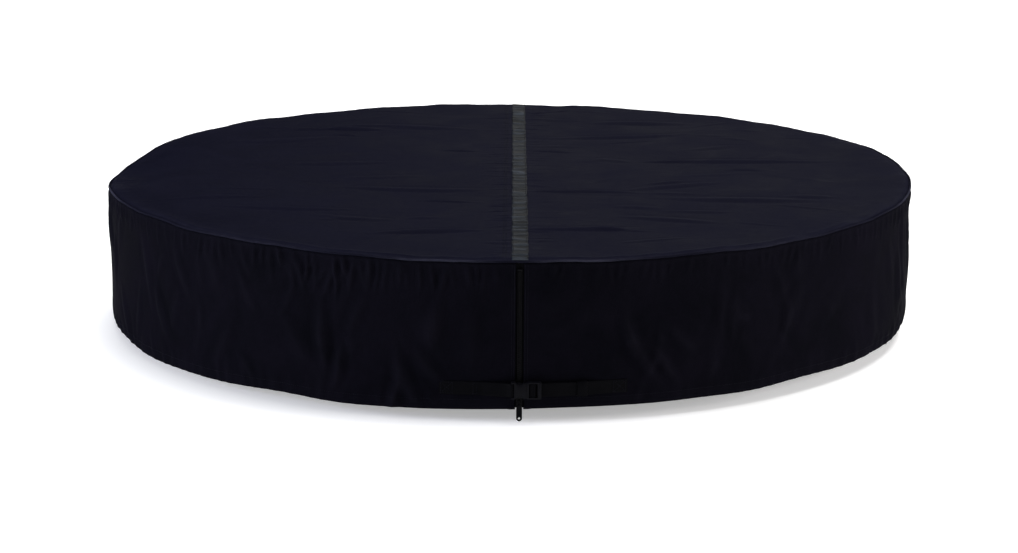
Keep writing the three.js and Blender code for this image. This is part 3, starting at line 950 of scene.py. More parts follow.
@dataclass
class CoverShape:
    """How the cloth lies: its creases, its soft waves and the elastic's pull, for every piece on it."""

    layout: Layout
    draw_in: float = 4 * MM  # by which the elastic pulls the hem in
    draw_height: float = 50 * MM
    left_sink: float = 22 * MM  # of the rim, at the left end
    right_rise: float = 6 * MM  # of the rim, at the right end
    seam_ridge: float = 2.6 * MM  # where the top cloth is pushed up by its sewn rim
    top_rise: float = 3.4 * MM
    seed: int = 41

    def __post_init__(self) -> None:
        """Draw the random creases, always the same."""
        dice = np.random.default_rng(self.seed)
        self.top_creases = Creases(
            self._panel_creases(dice) + self._seam_puckers(dice) + self._rim_puckers(dice)
        )
        self.skirt_creases = Creases(self._rim_gathers(dice) + self._hanging_folds(dice))
        self.hem_creases = Creases(self._hem_gathers(dice))

    def _panel_creases(self, dice: np.random.Generator) -> list[Crease]:
        """Long low creases that run across the panels from the strip.

        Args:
            dice: The random source.

        Returns:
            The creases, in the top's own x and y.
        """
        seam = self.layout.seam_x
        found = [
            Crease(-0.16, -0.60, 12, 0.24, 9 * MM, 2.6 * MM, 0.03),
            Crease(-0.44, -0.38, -4, 0.30, 8 * MM, 2.0 * MM, -0.04),
            Crease(-0.58, -0.30, 10, 0.22, 8 * MM, 1.8 * MM, 0.05),
            Crease(-0.36, 0.08, 6, 0.26, 11 * MM, 1.6 * MM, 0.02),
            Crease(-0.20, -0.18, -6, 0.34, 10 * MM, 1.7 * MM, -0.02),
            Crease(0.16, -0.22, -5, 0.24, 8 * MM, 2.4 * MM, 0.03),
            Crease(0.15, -0.56, 4, 0.22, 8 * MM, 2.2 * MM, -0.03),
            Crease(0.34, -0.16, 24, 0.26, 10 * MM, 1.8 * MM, 0.04),
            Crease(0.46, -0.28, -3, 0.36, 12 * MM, 2.0 * MM, -0.02),
            Crease(0.50, 0.12, 3, 0.44, 10 * MM, 2.1 * MM, 0.02),
            Crease(0.24, 0.42, 8, 0.36, 11 * MM, 2.0 * MM, -0.03),
            Crease(0.30, 0.58, -3, 0.26, 13 * MM, 2.2 * MM, 0.03),
            Crease(-0.22, 0.50, -7, 0.34, 12 * MM, 1.7 * MM, 0.02),
            Crease(-0.50, 0.34, 14, 0.30, 13 * MM, 1.6 * MM, -0.03),
        ]
        for _ in range(56):
            side = dice.choice([-1, 1])
            reach = dice.uniform(0.04, 0.66)
            length = dice.uniform(0.06, 0.24)
            found.append(
                Crease(
                    seam + side * reach,
                    dice.uniform(-0.74, 0.74),
                    dice.normal(0, 15),
                    length,
                    dice.uniform(4, 10) * MM,
                    dice.uniform(0.4, 1.5) * MM,
                    dice.uniform(-0.06, 0.06),
                )
            )
        return found

    def _seam_puckers(self, dice: np.random.Generator) -> list[Crease]:
        """Short puckers that the gathered strip pulls into both panels.

        Args:
            dice: The random source.

        Returns:
            The creases, in the top's own x and y.
        """
        found = []
        for side in (-1, 1):
            place = -0.8
            while place < 0.8:
                length = dice.uniform(0.03, 0.11)
                middle = self.layout.seam_x + side * (14 * MM + length * 0.32)
                found.append(
                    Crease(
                        middle,
                        place,
                        dice.normal(0, 9),
                        length,
                        dice.uniform(3.5, 7) * MM,
                        dice.uniform(0.25, 1.0) * MM,
                        dice.uniform(-0.05, 0.05),
                    ),
                )
                place += dice.uniform(20, 62) * MM
        return found

    def _rim_puckers(self, dice: np.random.Generator) -> list[Crease]:
        """Small gathers that run inwards from the rim seam, most of them at the left and right ends.

        Args:
            dice: The random source.

        Returns:
            The creases, in the top's own x and y.
        """
        found = []
        angle = 0.0
        while angle < 2 * math.pi:
            ends = abs(math.cos(angle)) ** 3
            length = dice.uniform(0.02, 0.045) + 0.045 * ends * dice.random()
            radius = self.layout.radius - 4 * MM - length * 0.4
            height = (0.45 + 1.1 * ends * dice.random()) * MM
            heading = math.degrees(angle) + dice.normal(0, 12)
            found.append(
                Crease(
                    radius * math.cos(angle),
                    radius * math.sin(angle),
                    heading,
                    length,
                    dice.uniform(3.5, 6) * MM,
                    height,
                ),
            )
            angle += dice.uniform(14, 42) * MM / self.layout.radius
        return found

    def _rim_gathers(self, dice: np.random.Generator) -> list[Crease]:
        """Gathers that hang from the rim seam, thickest at the front left.

        Args:
            dice: The random source.

        Returns:
            The creases, with u along the skirt from the zip and v down from the rim.
        """
        found = []
        half = math.pi * self.layout.radius
        place = -half
        while place < half:
            front_left = math.exp(-(((place + 0.40) / 0.30) ** 2))
            length = dice.uniform(0.03, 0.06) + 0.05 * front_left * dice.random()
            height = (0.8 + 1.0 * dice.random() + 2.6 * front_left * dice.random()) * MM
            if abs(place) > 0.03:
                found.append(
                    Crease(
                        place,
                        length * 0.42,
                        90 + dice.normal(0, 14),
                        length,
                        dice.uniform(2.6, 5.5) * MM,
                        height,
                        dice.uniform(-0.05, 0.05),
                    ),
                )
            place += dice.uniform(12, 40) * MM * (1 - 0.45 * front_left)
        return found

    def _hanging_folds(self, dice: np.random.Generator) -> list[Crease]:
        """The skirt's own folds: some listed one by one near the front, and soft random ones all round.

        Args:
            dice: The random source.

        Returns:
            The creases, with u along the skirt from the zip and v down from the rim.
        """
        found = [
            Crease(-0.365, 0.150, 84, 0.17, 10 * MM, 4.2 * MM, 0.05),
            Crease(-0.345, 0.205, 100, 0.11, 8 * MM, 3.4 * MM, -0.06),
            Crease(-0.300, 0.110, 112, 0.12, 9 * MM, 2.2 * MM, 0.04),
            Crease(-0.200, 0.215, 66, 0.13, 10 * MM, 4.0 * MM, 0.10),
            Crease(-0.235, 0.245, 108, 0.09, 8 * MM, 3.6 * MM, -0.08),
            Crease(-0.160, 0.190, 52, 0.11, 9 * MM, 2.8 * MM, 0.08),
            Crease(-0.150, 0.105, 96, 0.12, 10 * MM, 2.2 * MM, 0.02),
            Crease(-0.085, 0.140, 88, 0.16, 12 * MM, 1.8 * MM, 0.02),
            Crease(0.230, 0.175, 58, 0.16, 9 * MM, 4.2 * MM, 0.04),
            Crease(0.262, 0.195, 50, 0.15, 8 * MM, 3.8 * MM, -0.03),
            Crease(0.205, 0.135, 76, 0.12, 10 * MM, 2.6 * MM, 0.05),
            Crease(0.305, 0.150, 42, 0.11, 9 * MM, 2.4 * MM, 0.04),
            Crease(0.435, 0.120, 30, 0.05, 9 * MM, 3.0 * MM, 0.10),
            Crease(0.560, 0.130, 118, 0.15, 12 * MM, 2.4 * MM, 0.02),
            Crease(-0.540, 0.090, 62, 0.12, 9 * MM, 2.4 * MM, 0.03),
            Crease(-0.610, 0.200, 118, 0.13, 12 * MM, 2.6 * MM, -0.04),
            Crease(-0.720, 0.085, 58, 0.15, 9 * MM, 2.8 * MM, 0.03),
            Crease(-0.800, 0.170, 64, 0.15, 10 * MM, 2.6 * MM, 0.03),
            Crease(-0.860, 0.110, 70, 0.17, 10 * MM, 2.4 * MM, -0.03),
        ]
        half = math.pi * self.layout.radius
        for _ in range(150):
            place = dice.uniform(-half, half)
            ahead = abs(place) < 0.16
            size = 0.5 if ahead else 1.0
            found.append(
                Crease(
                    place,
                    dice.uniform(0.04, 0.24),
                    90 + dice.normal(0, 26),
                    dice.uniform(0.05, 0.17),
                    dice.uniform(6, 16) * MM,
                    size * dice.uniform(0.6, 2.4) * MM,
                    dice.uniform(-0.08, 0.08),
                )
            )
        return found

    def _hem_gathers(self, dice: np.random.Generator) -> list[Crease]:
        """Gathers that the hem elastic draws up, fading out beside the zip.

        Args:
            dice: The random source.

        Returns:
            The creases, with u along the skirt from the zip and v down from the rim.
        """
        found = []
        half = math.pi * self.layout.radius
        depth = self.layout.skirt_top - self.layout.hem
        place = -half
        while place < half:
            pulled = float(smooth(0.12, 0.55, abs(place)))
            length = dice.uniform(0.04, 0.085)
            height = (0.35 + (0.6 + 1.5 * dice.random()) * pulled) * MM
            found.append(
                Crease(
                    place,
                    depth - length * 0.24,
                    90 + dice.normal(0, 9),
                    length,
                    dice.uniform(5, 9) * MM,
                    height,
                    dice.uniform(-0.05, 0.05),
                ),
            )
            place += dice.uniform(18, 44) * MM
        return found

    def droop(self, angle: np.ndarray) -> np.ndarray:
        """How far the rim has sunk at an angle: most at the left end, and a little raised at the right."""
        turn = np.mod(angle, 2 * math.pi)
        left = self.left_sink * np.exp(-(((turn - math.radians(175)) / math.radians(17)) ** 2))
        opposite = np.mod(angle + math.pi, 2 * math.pi)
        right = self.right_rise * np.exp(-(((opposite - math.radians(198)) / math.radians(26)) ** 2))
        from_zip = np.abs(np.mod(angle - self.layout.front + math.pi, 2 * math.pi) - math.pi)
        waves = 1.1 * MM * np.sin(13 * angle + 1.5 * np.sin(5 * angle)) + 0.7 * MM * np.sin(31 * angle + 0.6)
        return (
            left
            - right
            + waves * smooth(0.03, 0.12, from_zip) * smooth(math.pi - 0.02, math.pi - 0.1, from_zip)
        )

    def top(self, x: np.ndarray, y: np.ndarray) -> np.ndarray:
        """The height of the top cloth's face.

        Args:
            x: Across the cover.
            y: Towards the back.

        Returns:
            The face's height at each place.
        """
        radius = np.hypot(x, y)
        angle = np.arctan2(y, x)
        waves = (
            np.sin(5.1 * x + 1.4 * np.sin(3.3 * y + 0.6)) * np.cos(4.3 * y + 0.8)
            + 0.6 * np.sin(9.2 * x - 3.1 * y + 2.1) * np.cos(7.7 * y + 1.9 * x)
            + 0.35 * np.sin(17.0 * x + 6.0 * y) * np.sin(14.0 * y - 5.0 * x + 0.7)
        )
        inner = smooth(0.82, 0.66, radius)
        uneven = 1 + 0.5 * np.sin(angle * 23 + 2 * np.sin(angle * 5)) * np.sin(angle * 41 + 1)
        ridge = self.seam_ridge * uneven * np.exp(-(((radius - 0.816) / 0.007) ** 2))
        lift = self.top_rise + (2.2 * MM * waves + 1.7 * self.top_creases.lift(x, y)) * (0.18 + 0.82 * inner)
        lift = np.maximum(lift * smooth(0.834, 0.800, radius) + 1.4 * MM, 1.2 * MM) + ridge
        beside = np.abs(x - self.layout.seam_x)
        lift = lift + 0.8 * MM * np.exp(-(((beside - 17 * MM) / (6 * MM)) ** 2)) * smooth(0.825, 0.80, radius)
        return lift - self.droop(angle) * smooth(0.66, 0.83, radius)

    def skirt(self, u: np.ndarray, v: np.ndarray, inset: float | np.ndarray = 0.0) -> np.ndarray:
        """Places on the skirt's outside.

        Args:
            u: Along the skirt from the zip, to the right.
            v: Down from the rim.
            inset: How far inside the skirt's outside.

        Returns:
            The places in the cover's axes.
        """
        layout = self.layout
        depth = layout.skirt_top - layout.hem
        angle = layout.front + u / layout.radius
        turn = np.abs(u) / layout.radius
        down = np.clip((v - depth + self.draw_height) / self.draw_height, 0, 1)
        pull = self.draw_in * down**2 * smooth(math.radians(16), math.radians(55), turn)
        waves = (
            np.sin(4.1 * u + 0.8) * np.sin(1.6 + 9 * v)
            + 0.6 * np.sin(9.7 * u + 2 * v * 11)
            + 0.4 * np.sin(21 * u - 9 * v)
        )
        free = smooth(0.0, 0.06, v) * smooth(depth + 0.01, depth - 0.03, v)
        folds = 1.6 * self.skirt_creases.lift(u, v) + 1.6 * MM * waves * free + self.hem_creases.lift(u, v)
        folds = folds * smooth(-0.001, 0.007, v)
        beside_zip = smooth(0.016, 0.05, np.abs(u))
        strap_drop = layout.skirt_top - layout.strap_z
        off_strap = np.maximum(
            smooth(0.017, 0.034, np.abs(v - strap_drop)), smooth(0.085, 0.13, np.abs(u - 0.026))
        )
        round_skirt = 2 * math.pi * layout.radius
        to_seam = u - layout.radius * (layout.back - layout.front)
        from_seam = np.abs(np.mod(to_seam + round_skirt / 2, round_skirt) - round_skirt / 2)
        beside_seam = smooth(0.012, 0.10, from_seam)
        folds = folds * (0.06 + 0.94 * beside_zip) * (0.02 + 0.98 * off_strap) * (0.03 + 0.97 * beside_seam)
        folds = np.where(folds > 0, folds, 0.8 * folds)
        radius = layout.radius - pull + folds - inset
        hanging = np.clip(v / depth, 0, 1)
        hem_waves = (1.6 * np.sin(11.3 * u + 1.0) + 1.2 * np.sin(23.7 * u)) * MM
        scallop = hem_waves * smooth(0.10, 0.4, np.abs(u)) * beside_seam * hanging**3
        far_left, near_left = np.exp(-(((u + 0.80) / 0.42) ** 2)), np.exp(-(((u + 0.24) / 0.22) ** 2))
        sag = (12 * far_left + 5 * near_left) * MM * hanging**2
        z = layout.skirt_top - v - self.droop(angle) * (1 - 0.8 * hanging) + scallop - sag
        return np.stack([radius * np.cos(angle), radius * np.sin(angle), z], -1)


@dataclass
class TopPanel:
    """One half-disc of the top, from the strip's seam to the rim."""

    shape: CoverShape
    side: Side
    cloth: float = 0.8 * MM
    allowance: float = 2.6 * MM  # runs on under the piping, where it is sewn
    lap: float = 0.5 * MM  # by which the left panel passes the right one under the strip
    rows: int = 620
    columns: int = 70

    def build(self, material: Material) -> Object:
        """Make the panel.

        Args:
            material: The top cloth.

        Returns:
            The panel.
        """
        layout = self.shape.layout
        low, high = (Vector(corner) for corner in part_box(f"top_panel_{self.side.word}"))
        is_left = self.side is Side.LEFT
        edge = (-low.x if is_left else high.x) + self.allowance
        seam = high.x + self.lap if is_left else low.x
        tip = math.acos(seam / edge)
        share = np.linspace(0, 1, self.rows)[:, None]
        reach = np.linspace(0, 1, self.columns)[None, :]
        seam_y = edge * math.sin(tip) * np.cos(math.pi * share)
        rim = tip + (2 * math.pi - 2 * tip) * share if is_left else tip - 2 * tip * share
        x = seam + (edge * np.cos(rim) - seam) * reach
        y = seam_y + (edge * np.sin(rim) - seam_y) * reach
        z = self.shape.top(x, y)
        radius = np.hypot(x, y)
        near_rim = 0.25 * smooth(0.78, 0.825, radius)
        # Painted highlight along the ridge just inside the rim seam.
        rim_highlight = 0.9 * np.exp(-(((radius - 0.8235) / 0.0035) ** 2))
        beside_strip = 0.2 * smooth(0.05, 0.02, np.abs(x - layout.seam_x))
        crests = 0.6 * np.clip(self.shape.top_creases.lift(x, y) / (2.6 * MM) - 0.15, 0, 1)
        wear = near_rim + rim_highlight + beside_strip + crests
        grid = ClothGrid(np.stack([x, y, z], -1), np.stack([x, y], -1), np.clip(wear, 0, 1))
        panel = grid.build(f"top_panel_{self.side.word}_cloth", material, Vector((0, 0, 1)))
        merged(panel)
        thickened(panel, self.cloth)
        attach(panel, "cover")
        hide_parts(f"top_panel_{self.side.word}")
        return panel


@dataclass
class SkirtHalf:
    """One half of the skirt: a single cloth from rim to hem, turned up inside round the elastic."""

    shape: CoverShape
    side: Side
    cloth: float = 0.8 * MM
    columns: int = 760
    rows: int = 44
    casing: float = 20 * MM  # turned up inside the hem
    casing_room: float = 3.8 * MM  # from the skirt's face to the turned-up edge
    fold: float = 1.2 * MM  # how sharply the hem turns
    zip_gap: float = 7.5 * MM
    tuck: float = 1.0 * MM  # the sewn edge stands up behind the piping
    seam_lap: float = 0.15 * MM  # past the middle of the back seam

    @property
    def ends(self) -> tuple[float, float]:
        """Where this half starts at the zip and stops at the back seam, along the skirt."""
        layout = self.shape.layout
        sign = self.side.value
        to_back = layout.back - layout.front
        turn = to_back if sign > 0 else 2 * math.pi - to_back
        return sign * self.zip_gap, sign * (layout.radius * turn + self.seam_lap)

    def build(self, material: Material) -> Object:
        """Make the cloth.

        Args:
            material: The skirt cloth.

        Returns:
            The skirt half.
        """
        layout = self.shape.layout
        depth = layout.skirt_top - layout.hem
        start, stop = self.ends
        u = np.linspace(start, stop, self.columns)[None, :]
        wall = -self.tuck + np.linspace(0, 1, self.rows) * (depth - self.fold + self.tuck)
        bend = np.linspace(0, math.pi, 6)[1:-1]
        turned = np.linspace(self.fold, self.casing, 5)
        round_bend = self.casing_room / 2 * (1 - np.cos(bend))
        v = np.concatenate([wall, depth - self.fold + self.fold * np.sin(bend), depth - turned])[:, None]
        inset = np.concatenate([np.zeros_like(wall), round_bend, np.full_like(turned, self.casing_room)])
        inset = inset[:, None]
        at_zip = smooth(0.036, 0.024, np.abs(u))
        under_piping = 1.2 * MM * smooth(4 * MM, -self.tuck, v)
        inset = inset * (1 - at_zip) + np.minimum(inset, 1.0 * MM) * at_zip + under_piping
        shape_v, shape_u = np.broadcast_arrays(v, u)
        points = self.shape.skirt(shape_u, shape_v, inset)
        flat_v = np.concatenate([wall, depth + self.fold * bend / math.pi, depth + turned])[:, None]
        flat = np.stack(np.broadcast_arrays(u, flat_v), -1)
        lift = self.shape.skirt_creases.lift(shape_u, shape_v) + self.shape.hem_creases.lift(shape_u, shape_v)
        worn_edges = 0.3 * smooth(0.012, 0.0, shape_v) + 0.2 * smooth(depth - 0.03, depth, shape_v)
        wear = worn_edges + 0.4 * np.clip(lift / (4 * MM), 0, 1)
        skirt = ClothGrid(points, flat, np.clip(wear, 0, 1)).build(f"skirt_{self.side.word}_cloth", material)
        thickened(skirt, self.cloth)
        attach(skirt, "cover")
        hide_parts(f"skirt_{self.side.word}")
        return skirt

    def build_elastic(self, material: Material) -> Object:
        """Make the elastic inside the hem's casing.

        Args:
            material: Its ribbed weave.

        Returns:
            The elastic band.
        """
        layout = self.shape.layout
        low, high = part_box(f"hem_elastic_{self.side.word}")
        start, stop = self.ends
        inward = self.side.value * 0.06
        u = np.linspace(start + inward, stop - inward, 360)
        v = np.full_like(u, layout.skirt_top - (low.z + high.z) / 2)
        path = self.shape.skirt(u, v, self.cloth + (self.casing_room - self.cloth) / 2)
        path[:, 2] = (low.z + high.z) / 2
        half = (high.z - low.z) / 2 - 0.4 * MM
        out = path * np.array([1, 1, 0]) / np.hypot(path[:, 0], path[:, 1])[:, None]
        edge, crown = 0.35 * MM, 0.45 * MM
        section = [(-edge, -half), (edge, -half), (crown, 0), (edge, half), (-edge, half), (-crown, 0)]
        band = swept(f"hem_elastic_{self.side.word}_band", path, out, section, material)
        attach(band, "cover")
        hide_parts(f"hem_elastic_{self.side.word}")
        return band


@dataclass
class RimPiping:
    """The cloth-covered cord that stands along the rim seam, with the seam's small pulls in it."""

    shape: CoverShape
    side: Side
    cord: float = 2.0 * MM
    lap: float = 0.1 * MM  # by which the halves run past each other
    steps: int = 460

    def build(self, material: Material) -> Object:
        """Make the piping.

        Args:
            material: The piping cloth.

        Returns:
            The piping.
        """
        layout = self.shape.layout
        low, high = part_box(f"rim_piping_{self.side.word}")
        middle_z = (low.z + high.z) / 2
        lap = self.lap / layout.radius
        if self.side is Side.RIGHT:
            angle = np.linspace(layout.front - lap, layout.back + lap, self.steps)
        else:
            angle = np.linspace(layout.back - lap, layout.front + 2 * math.pi + lap, self.steps)
        pulls = 0.2 * MM * np.sin(angle * 61 + 2 * np.sin(angle * 7)) + 0.15 * MM * np.sin(angle * 127)
        radius = layout.radius - 0.3 * MM + 0.4 * pulls
        path = np.stack(
            [radius * np.cos(angle), radius * np.sin(angle), middle_z + pulls - self.shape.droop(angle)], -1
        )
        out = np.stack([np.cos(angle), np.sin(angle), np.zeros_like(angle)], -1)
        section = [
            (self.cord * math.cos(t), self.cord * math.sin(t)) for t in np.linspace(0, 2 * math.pi, 11)[:-1]
        ]
        piping = swept(f"rim_piping_{self.side.word}_cloth", path, out, section, material)
        # Painted highlight on the piping, stronger in some stretches of the rim than in others.
        rubbed = np.clip(0.5 + 0.55 * np.sin(angle * 9 + 3 * np.sin(angle * 4)), 0, 1)
        piping.data.attributes.new(WEAR_AND_PAINTED_LIGHT, "FLOAT", "POINT").data.foreach_set(
            "value", np.repeat(rubbed, len(section))
        )
        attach(piping, "cover")
        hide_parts(f"rim_piping_{self.side.word}")
        return piping


@dataclass
class ReflectiveStrip:
    """The grey reflective tape over the top's seam, finely gathered along its whole length."""

    shape: CoverShape
    tape: float = 0.5 * MM
    rows: int = 1100
    columns: int = 17
    dimple: float = 24 * MM  # from one sunk group of stitches on its right edge to the next
    seed: int = 7

    def build(self, material: Material) -> Object:
        """Make the tape.

        Args:
            material: The glass-bead tape.

        Returns:
            The tape.
        """
        low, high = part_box("reflective_strip")
        dice = np.random.default_rng(self.seed)
        middle = (low.x + high.x) / 2
        half = (high.x - low.x) / 2
        y = np.linspace(low.y, high.y, self.rows)[:, None]
        share = np.linspace(-1, 1, self.columns)[None, :]
        edge = 0.5 * MM * np.sin(y * 57) + 0.3 * MM * np.sin(y * 131 + 1)
        x = middle + share * half + edge
        gathers = np.zeros((self.rows, self.columns))
        for spacing, widths, heights in (
            ((18, 56), (4.5, 11.0), (1.0, 3.6)), ((5, 13), (1.8, 3.6), (0.2, 1.0))
        ):
            place = float(low.y)
            while place < high.y:
                slant = dice.normal(0, 0.16)
                width = dice.uniform(*widths) * MM
                height = dice.uniform(*heights) * MM
                across = (y - place - slant * (x - middle)) / width
                side = dice.choice([-1.0, 0.0, 1.0])
                fade = 1 - 0.6 * np.clip(side * share, 0, 1)
                gathers += height * fade * np.exp(-(across**2))
                place += dice.uniform(*spacing) * MM
        sewn = (
            smooth(0.62, 0.95, share)
            * (0.5 + 0.5 * np.sin(2 * math.pi * y / self.dimple + 2 * np.sin(y * 19)))
        )
        gathers = gathers * (1 - 0.6 * sewn)
        z = (
            self.shape.top(x, np.broadcast_to(y, x.shape))
            + 0.6 * MM
            + gathers * (1 - 0.35 * np.abs(share) ** 6)
        )
        ends = smooth(0.0, 0.012, np.minimum(y - low.y, high.y - y))
        z = np.minimum(z, high.z + 8 * MM) * ends + np.minimum(z, high.z + 1 * MM) * (1 - ends)
        flat = np.stack(np.broadcast_arrays(x - middle, y), -1)
        # Painted light for the tape: painted highlight on the gathers' crests, painted shade at the sunk
        # stitches along its right edge, and lighter along its left edge.
        wear = np.clip(gathers / (2.4 * MM) - 0.9 * sewn + 0.3 * smooth(-0.8, -1.0, share), 0, 1)
        strip = ClothGrid(
            np.stack(np.broadcast_arrays(x, y, z), -1), flat, wear
        ).build("reflective_strip_tape", material, Vector((0, 0, 1)))
        thickened(strip, self.tape)
        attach(strip, "cover")
        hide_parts("reflective_strip")
        return strip


@dataclass
class InnerTapes:
    """The cloth tape behind the back seam and the two patches behind the sewn ends of the strap."""

    shape: CoverShape
    cloth: float = 0.7 * MM
    behind: float = 1.5 * MM  # from the skirt's outside to the tape's
    half_tape: float = 10.8 * MM  # half the width of the back seam's tape

    def build(self, material: Material) -> list[Object]:
        """Make the three pieces.

        Args:
            material: The seam binding.

        Returns:
            The pieces.
        """
        nodes = ("back_seam_tape", "strap_patch_left", "strap_patch_right")
        return [self._inside(node, material) for node in nodes]

    def _inside(self, node: str, material: Material) -> Object:
        """Lay one flat piece against the inside of the skirt, where its node is.

        Args:
            node: The node whose box it fills, and whose name it takes.
            material: The seam binding.

        Returns:
            The piece.
        """
        layout = self.shape.layout
        low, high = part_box(node)
        corners = [(x, y) for x in (low.x, high.x) for y in (low.y, high.y)]
        rim = [c for c in corners if abs(math.hypot(*c) - layout.radius) < 20 * MM] or corners
        turns = [(math.atan2(y, x) - layout.front) * layout.radius for x, y in rim]
        start, stop = min(turns), max(turns)
        if node == "back_seam_tape":
            middle = (layout.back - layout.front) * layout.radius
            start, stop = middle - self.half_tape, middle + self.half_tape
        u = np.linspace(start, stop, 28)[None, :]
        v = np.linspace(layout.skirt_top - high.z, layout.skirt_top - low.z, 40)[:, None]
        wide_u, wide_v = np.broadcast_arrays(u, v)
        points = self.shape.skirt(wide_u, wide_v, self.behind)
        grid = ClothGrid(points, np.stack([wide_u, wide_v], -1), np.full(wide_u.shape, 0.3))
        piece = grid.build(node + "_cloth", material)
        thickened(piece, self.cloth)
        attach(piece, "cover")
        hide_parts(node)
        return piece


# ---------------------------------------------------------------- zip


def tooth_tree() -> NodeTree:
    """Set copies of one shape at even spacing along a line.

    Returns:
        A geometry node tree with inputs for the line, the shape, the spacing and the finish.
    """
    tree = bpy.data.node_groups.new("rows along a line", "GeometryNodeTree")
    face = tree.interface
    face.new_socket("Geometry", in_out="INPUT", socket_type="NodeSocketGeometry")
    face.new_socket("Shape", in_out="INPUT", socket_type="NodeSocketObject")
    face.new_socket("Pitch", in_out="INPUT", socket_type="NodeSocketFloat")
    face.new_socket("Finish", in_out="INPUT", socket_type="NodeSocketMaterial")
    face.new_socket("Geometry", in_out="OUTPUT", socket_type="NodeSocketGeometry")
    given = add(tree, "NodeGroupInput").outputs
    spots = add(
        tree,
        "GeometryNodeCurveToPoints",
        {"Curve": given["Geometry"], "Length": given["Pitch"]},
        mode="LENGTH",
    )
    shape = add(tree, "GeometryNodeObjectInfo", {"Object": given["Shape"]}, transform_space="ORIGINAL")
    placed = add(
        tree,
        "GeometryNodeInstanceOnPoints",
        {"Points": spots.outputs["Points"], "Instance": shape.outputs["Geometry"]},
    )
    real = add(tree, "GeometryNodeRealizeInstances", {"Geometry": placed.outputs["Instances"]})
    finished = add(
        tree, "GeometryNodeSetMaterial", {"Geometry": real.outputs["Geometry"], "Material": given["Finish"]}
    )
    add(tree, "NodeGroupOutput", {0: finished.outputs["Geometry"]})
    return tree


def stitch_tree() -> NodeTree:
    """Lay sewn stitches end to end along curves.

    Returns:
        A geometry node tree with inputs for the stitch's pitch, length, thickness, unevenness and finish.
    """
    tree = bpy.data.node_groups.new("stitches", "GeometryNodeTree")
    face = tree.interface
    face.new_socket("Geometry", in_out="INPUT", socket_type="NodeSocketGeometry")
    for name in ("Pitch", "Length", "Thickness", "Unevenness"):
        face.new_socket(name, in_out="INPUT", socket_type="NodeSocketFloat")
    face.new_socket("Seed", in_out="INPUT", socket_type="NodeSocketInt")
    face.new_socket("Finish", in_out="INPUT", socket_type="NodeSocketMaterial")
    face.new_socket("Geometry", in_out="OUTPUT", socket_type="NodeSocketGeometry")
    given = add(tree, "NodeGroupInput").outputs
    spots = add(
        tree,
        "GeometryNodeCurveToPoints",
        {"Curve": given["Geometry"], "Length": given["Pitch"]},
        mode="LENGTH",
    )
    thread = add(tree, "GeometryNodeMeshUVSphere", {"Segments": 6, "Rings": 5, "Radius": 0.5})
    turned = add(tree, "FunctionNodeAlignRotationToVector", {"Vector": spots.outputs["Tangent"]}, axis="X")
    size = add(
        tree, "ShaderNodeCombineXYZ", {"X": given["Length"], "Y": given["Thickness"], "Z": given["Thickness"]}
    )
    least = add(tree, "ShaderNodeMath", {0: 1.0, 1: given["Unevenness"]}, operation="SUBTRACT")
    most = add(tree, "ShaderNodeMath", {0: 1.0, 1: given["Unevenness"]}, operation="ADD")
    chance = add(
        tree,
        "FunctionNodeRandomValue",
        {"Min": least.outputs[0], "Max": most.outputs[0], "Seed": given["Seed"]},
        data_type="FLOAT",
    )
    varied = add(
        tree, "ShaderNodeVectorMath", {0: size.outputs[0], "Scale": chance.outputs[1]}, operation="SCALE"
    )
    placed = add(
        tree,
        "GeometryNodeInstanceOnPoints",
        {
            "Points": spots.outputs["Points"],
            "Instance": thread.outputs["Mesh"],
            "Rotation": turned.outputs["Rotation"],
            "Scale": varied.outputs["Vector"],
        },
    )
    real = add(tree, "GeometryNodeRealizeInstances", {"Geometry": placed.outputs["Instances"]})
    rounded = add(tree, "GeometryNodeSetShadeSmooth", {"Geometry": real.outputs["Geometry"]})
    finished = add(
        tree,
        "GeometryNodeSetMaterial",
        {"Geometry": rounded.outputs["Geometry"], "Material": given["Finish"]},
    )
    add(tree, "NodeGroupOutput", {0: finished.outputs["Geometry"]})
    return tree


def grown(name: str, tree: NodeTree, lines: Sequence[Sequence[Vector]], values: dict) -> Object:
    """Run a geometry node tree over lines and keep its result as a plain mesh.

    Args:
        name: The piece's name.
        tree: The tree to run.
        lines: Points of each line.
        values: The tree's inputs, by name.

    Returns:
        The finished object, with no modifier.
    """
    curve = bpy.data.curves.new(name + "_lines", "CURVE")
    curve.dimensions = "3D"
    for line in lines:
        spline = curve.splines.new("POLY")
        spline.points.add(len(line) - 1)
        for spot, point in zip(spline.points, line):
            spot.co = (*point, 1)
    base = bpy.data.objects.new(name + "_lines", curve)
    bpy.context.scene.collection.objects.link(base)
    run = base.modifiers.new("made", "NODES")
    run.node_group = tree
    for item in tree.interface.items_tree:
        if item.in_out == "INPUT" and item.name in values:
            run[item.identifier] = values[item.name]
    base.update_tag()
    mesh = bpy.data.meshes.new_from_object(base.evaluated_get(bpy.context.evaluated_depsgraph_get()))
    mesh.name = name
    bpy.data.objects.remove(base)
    piece = bpy.data.objects.new(name, mesh)
    bpy.context.scene.collection.objects.link(piece)
    return piece


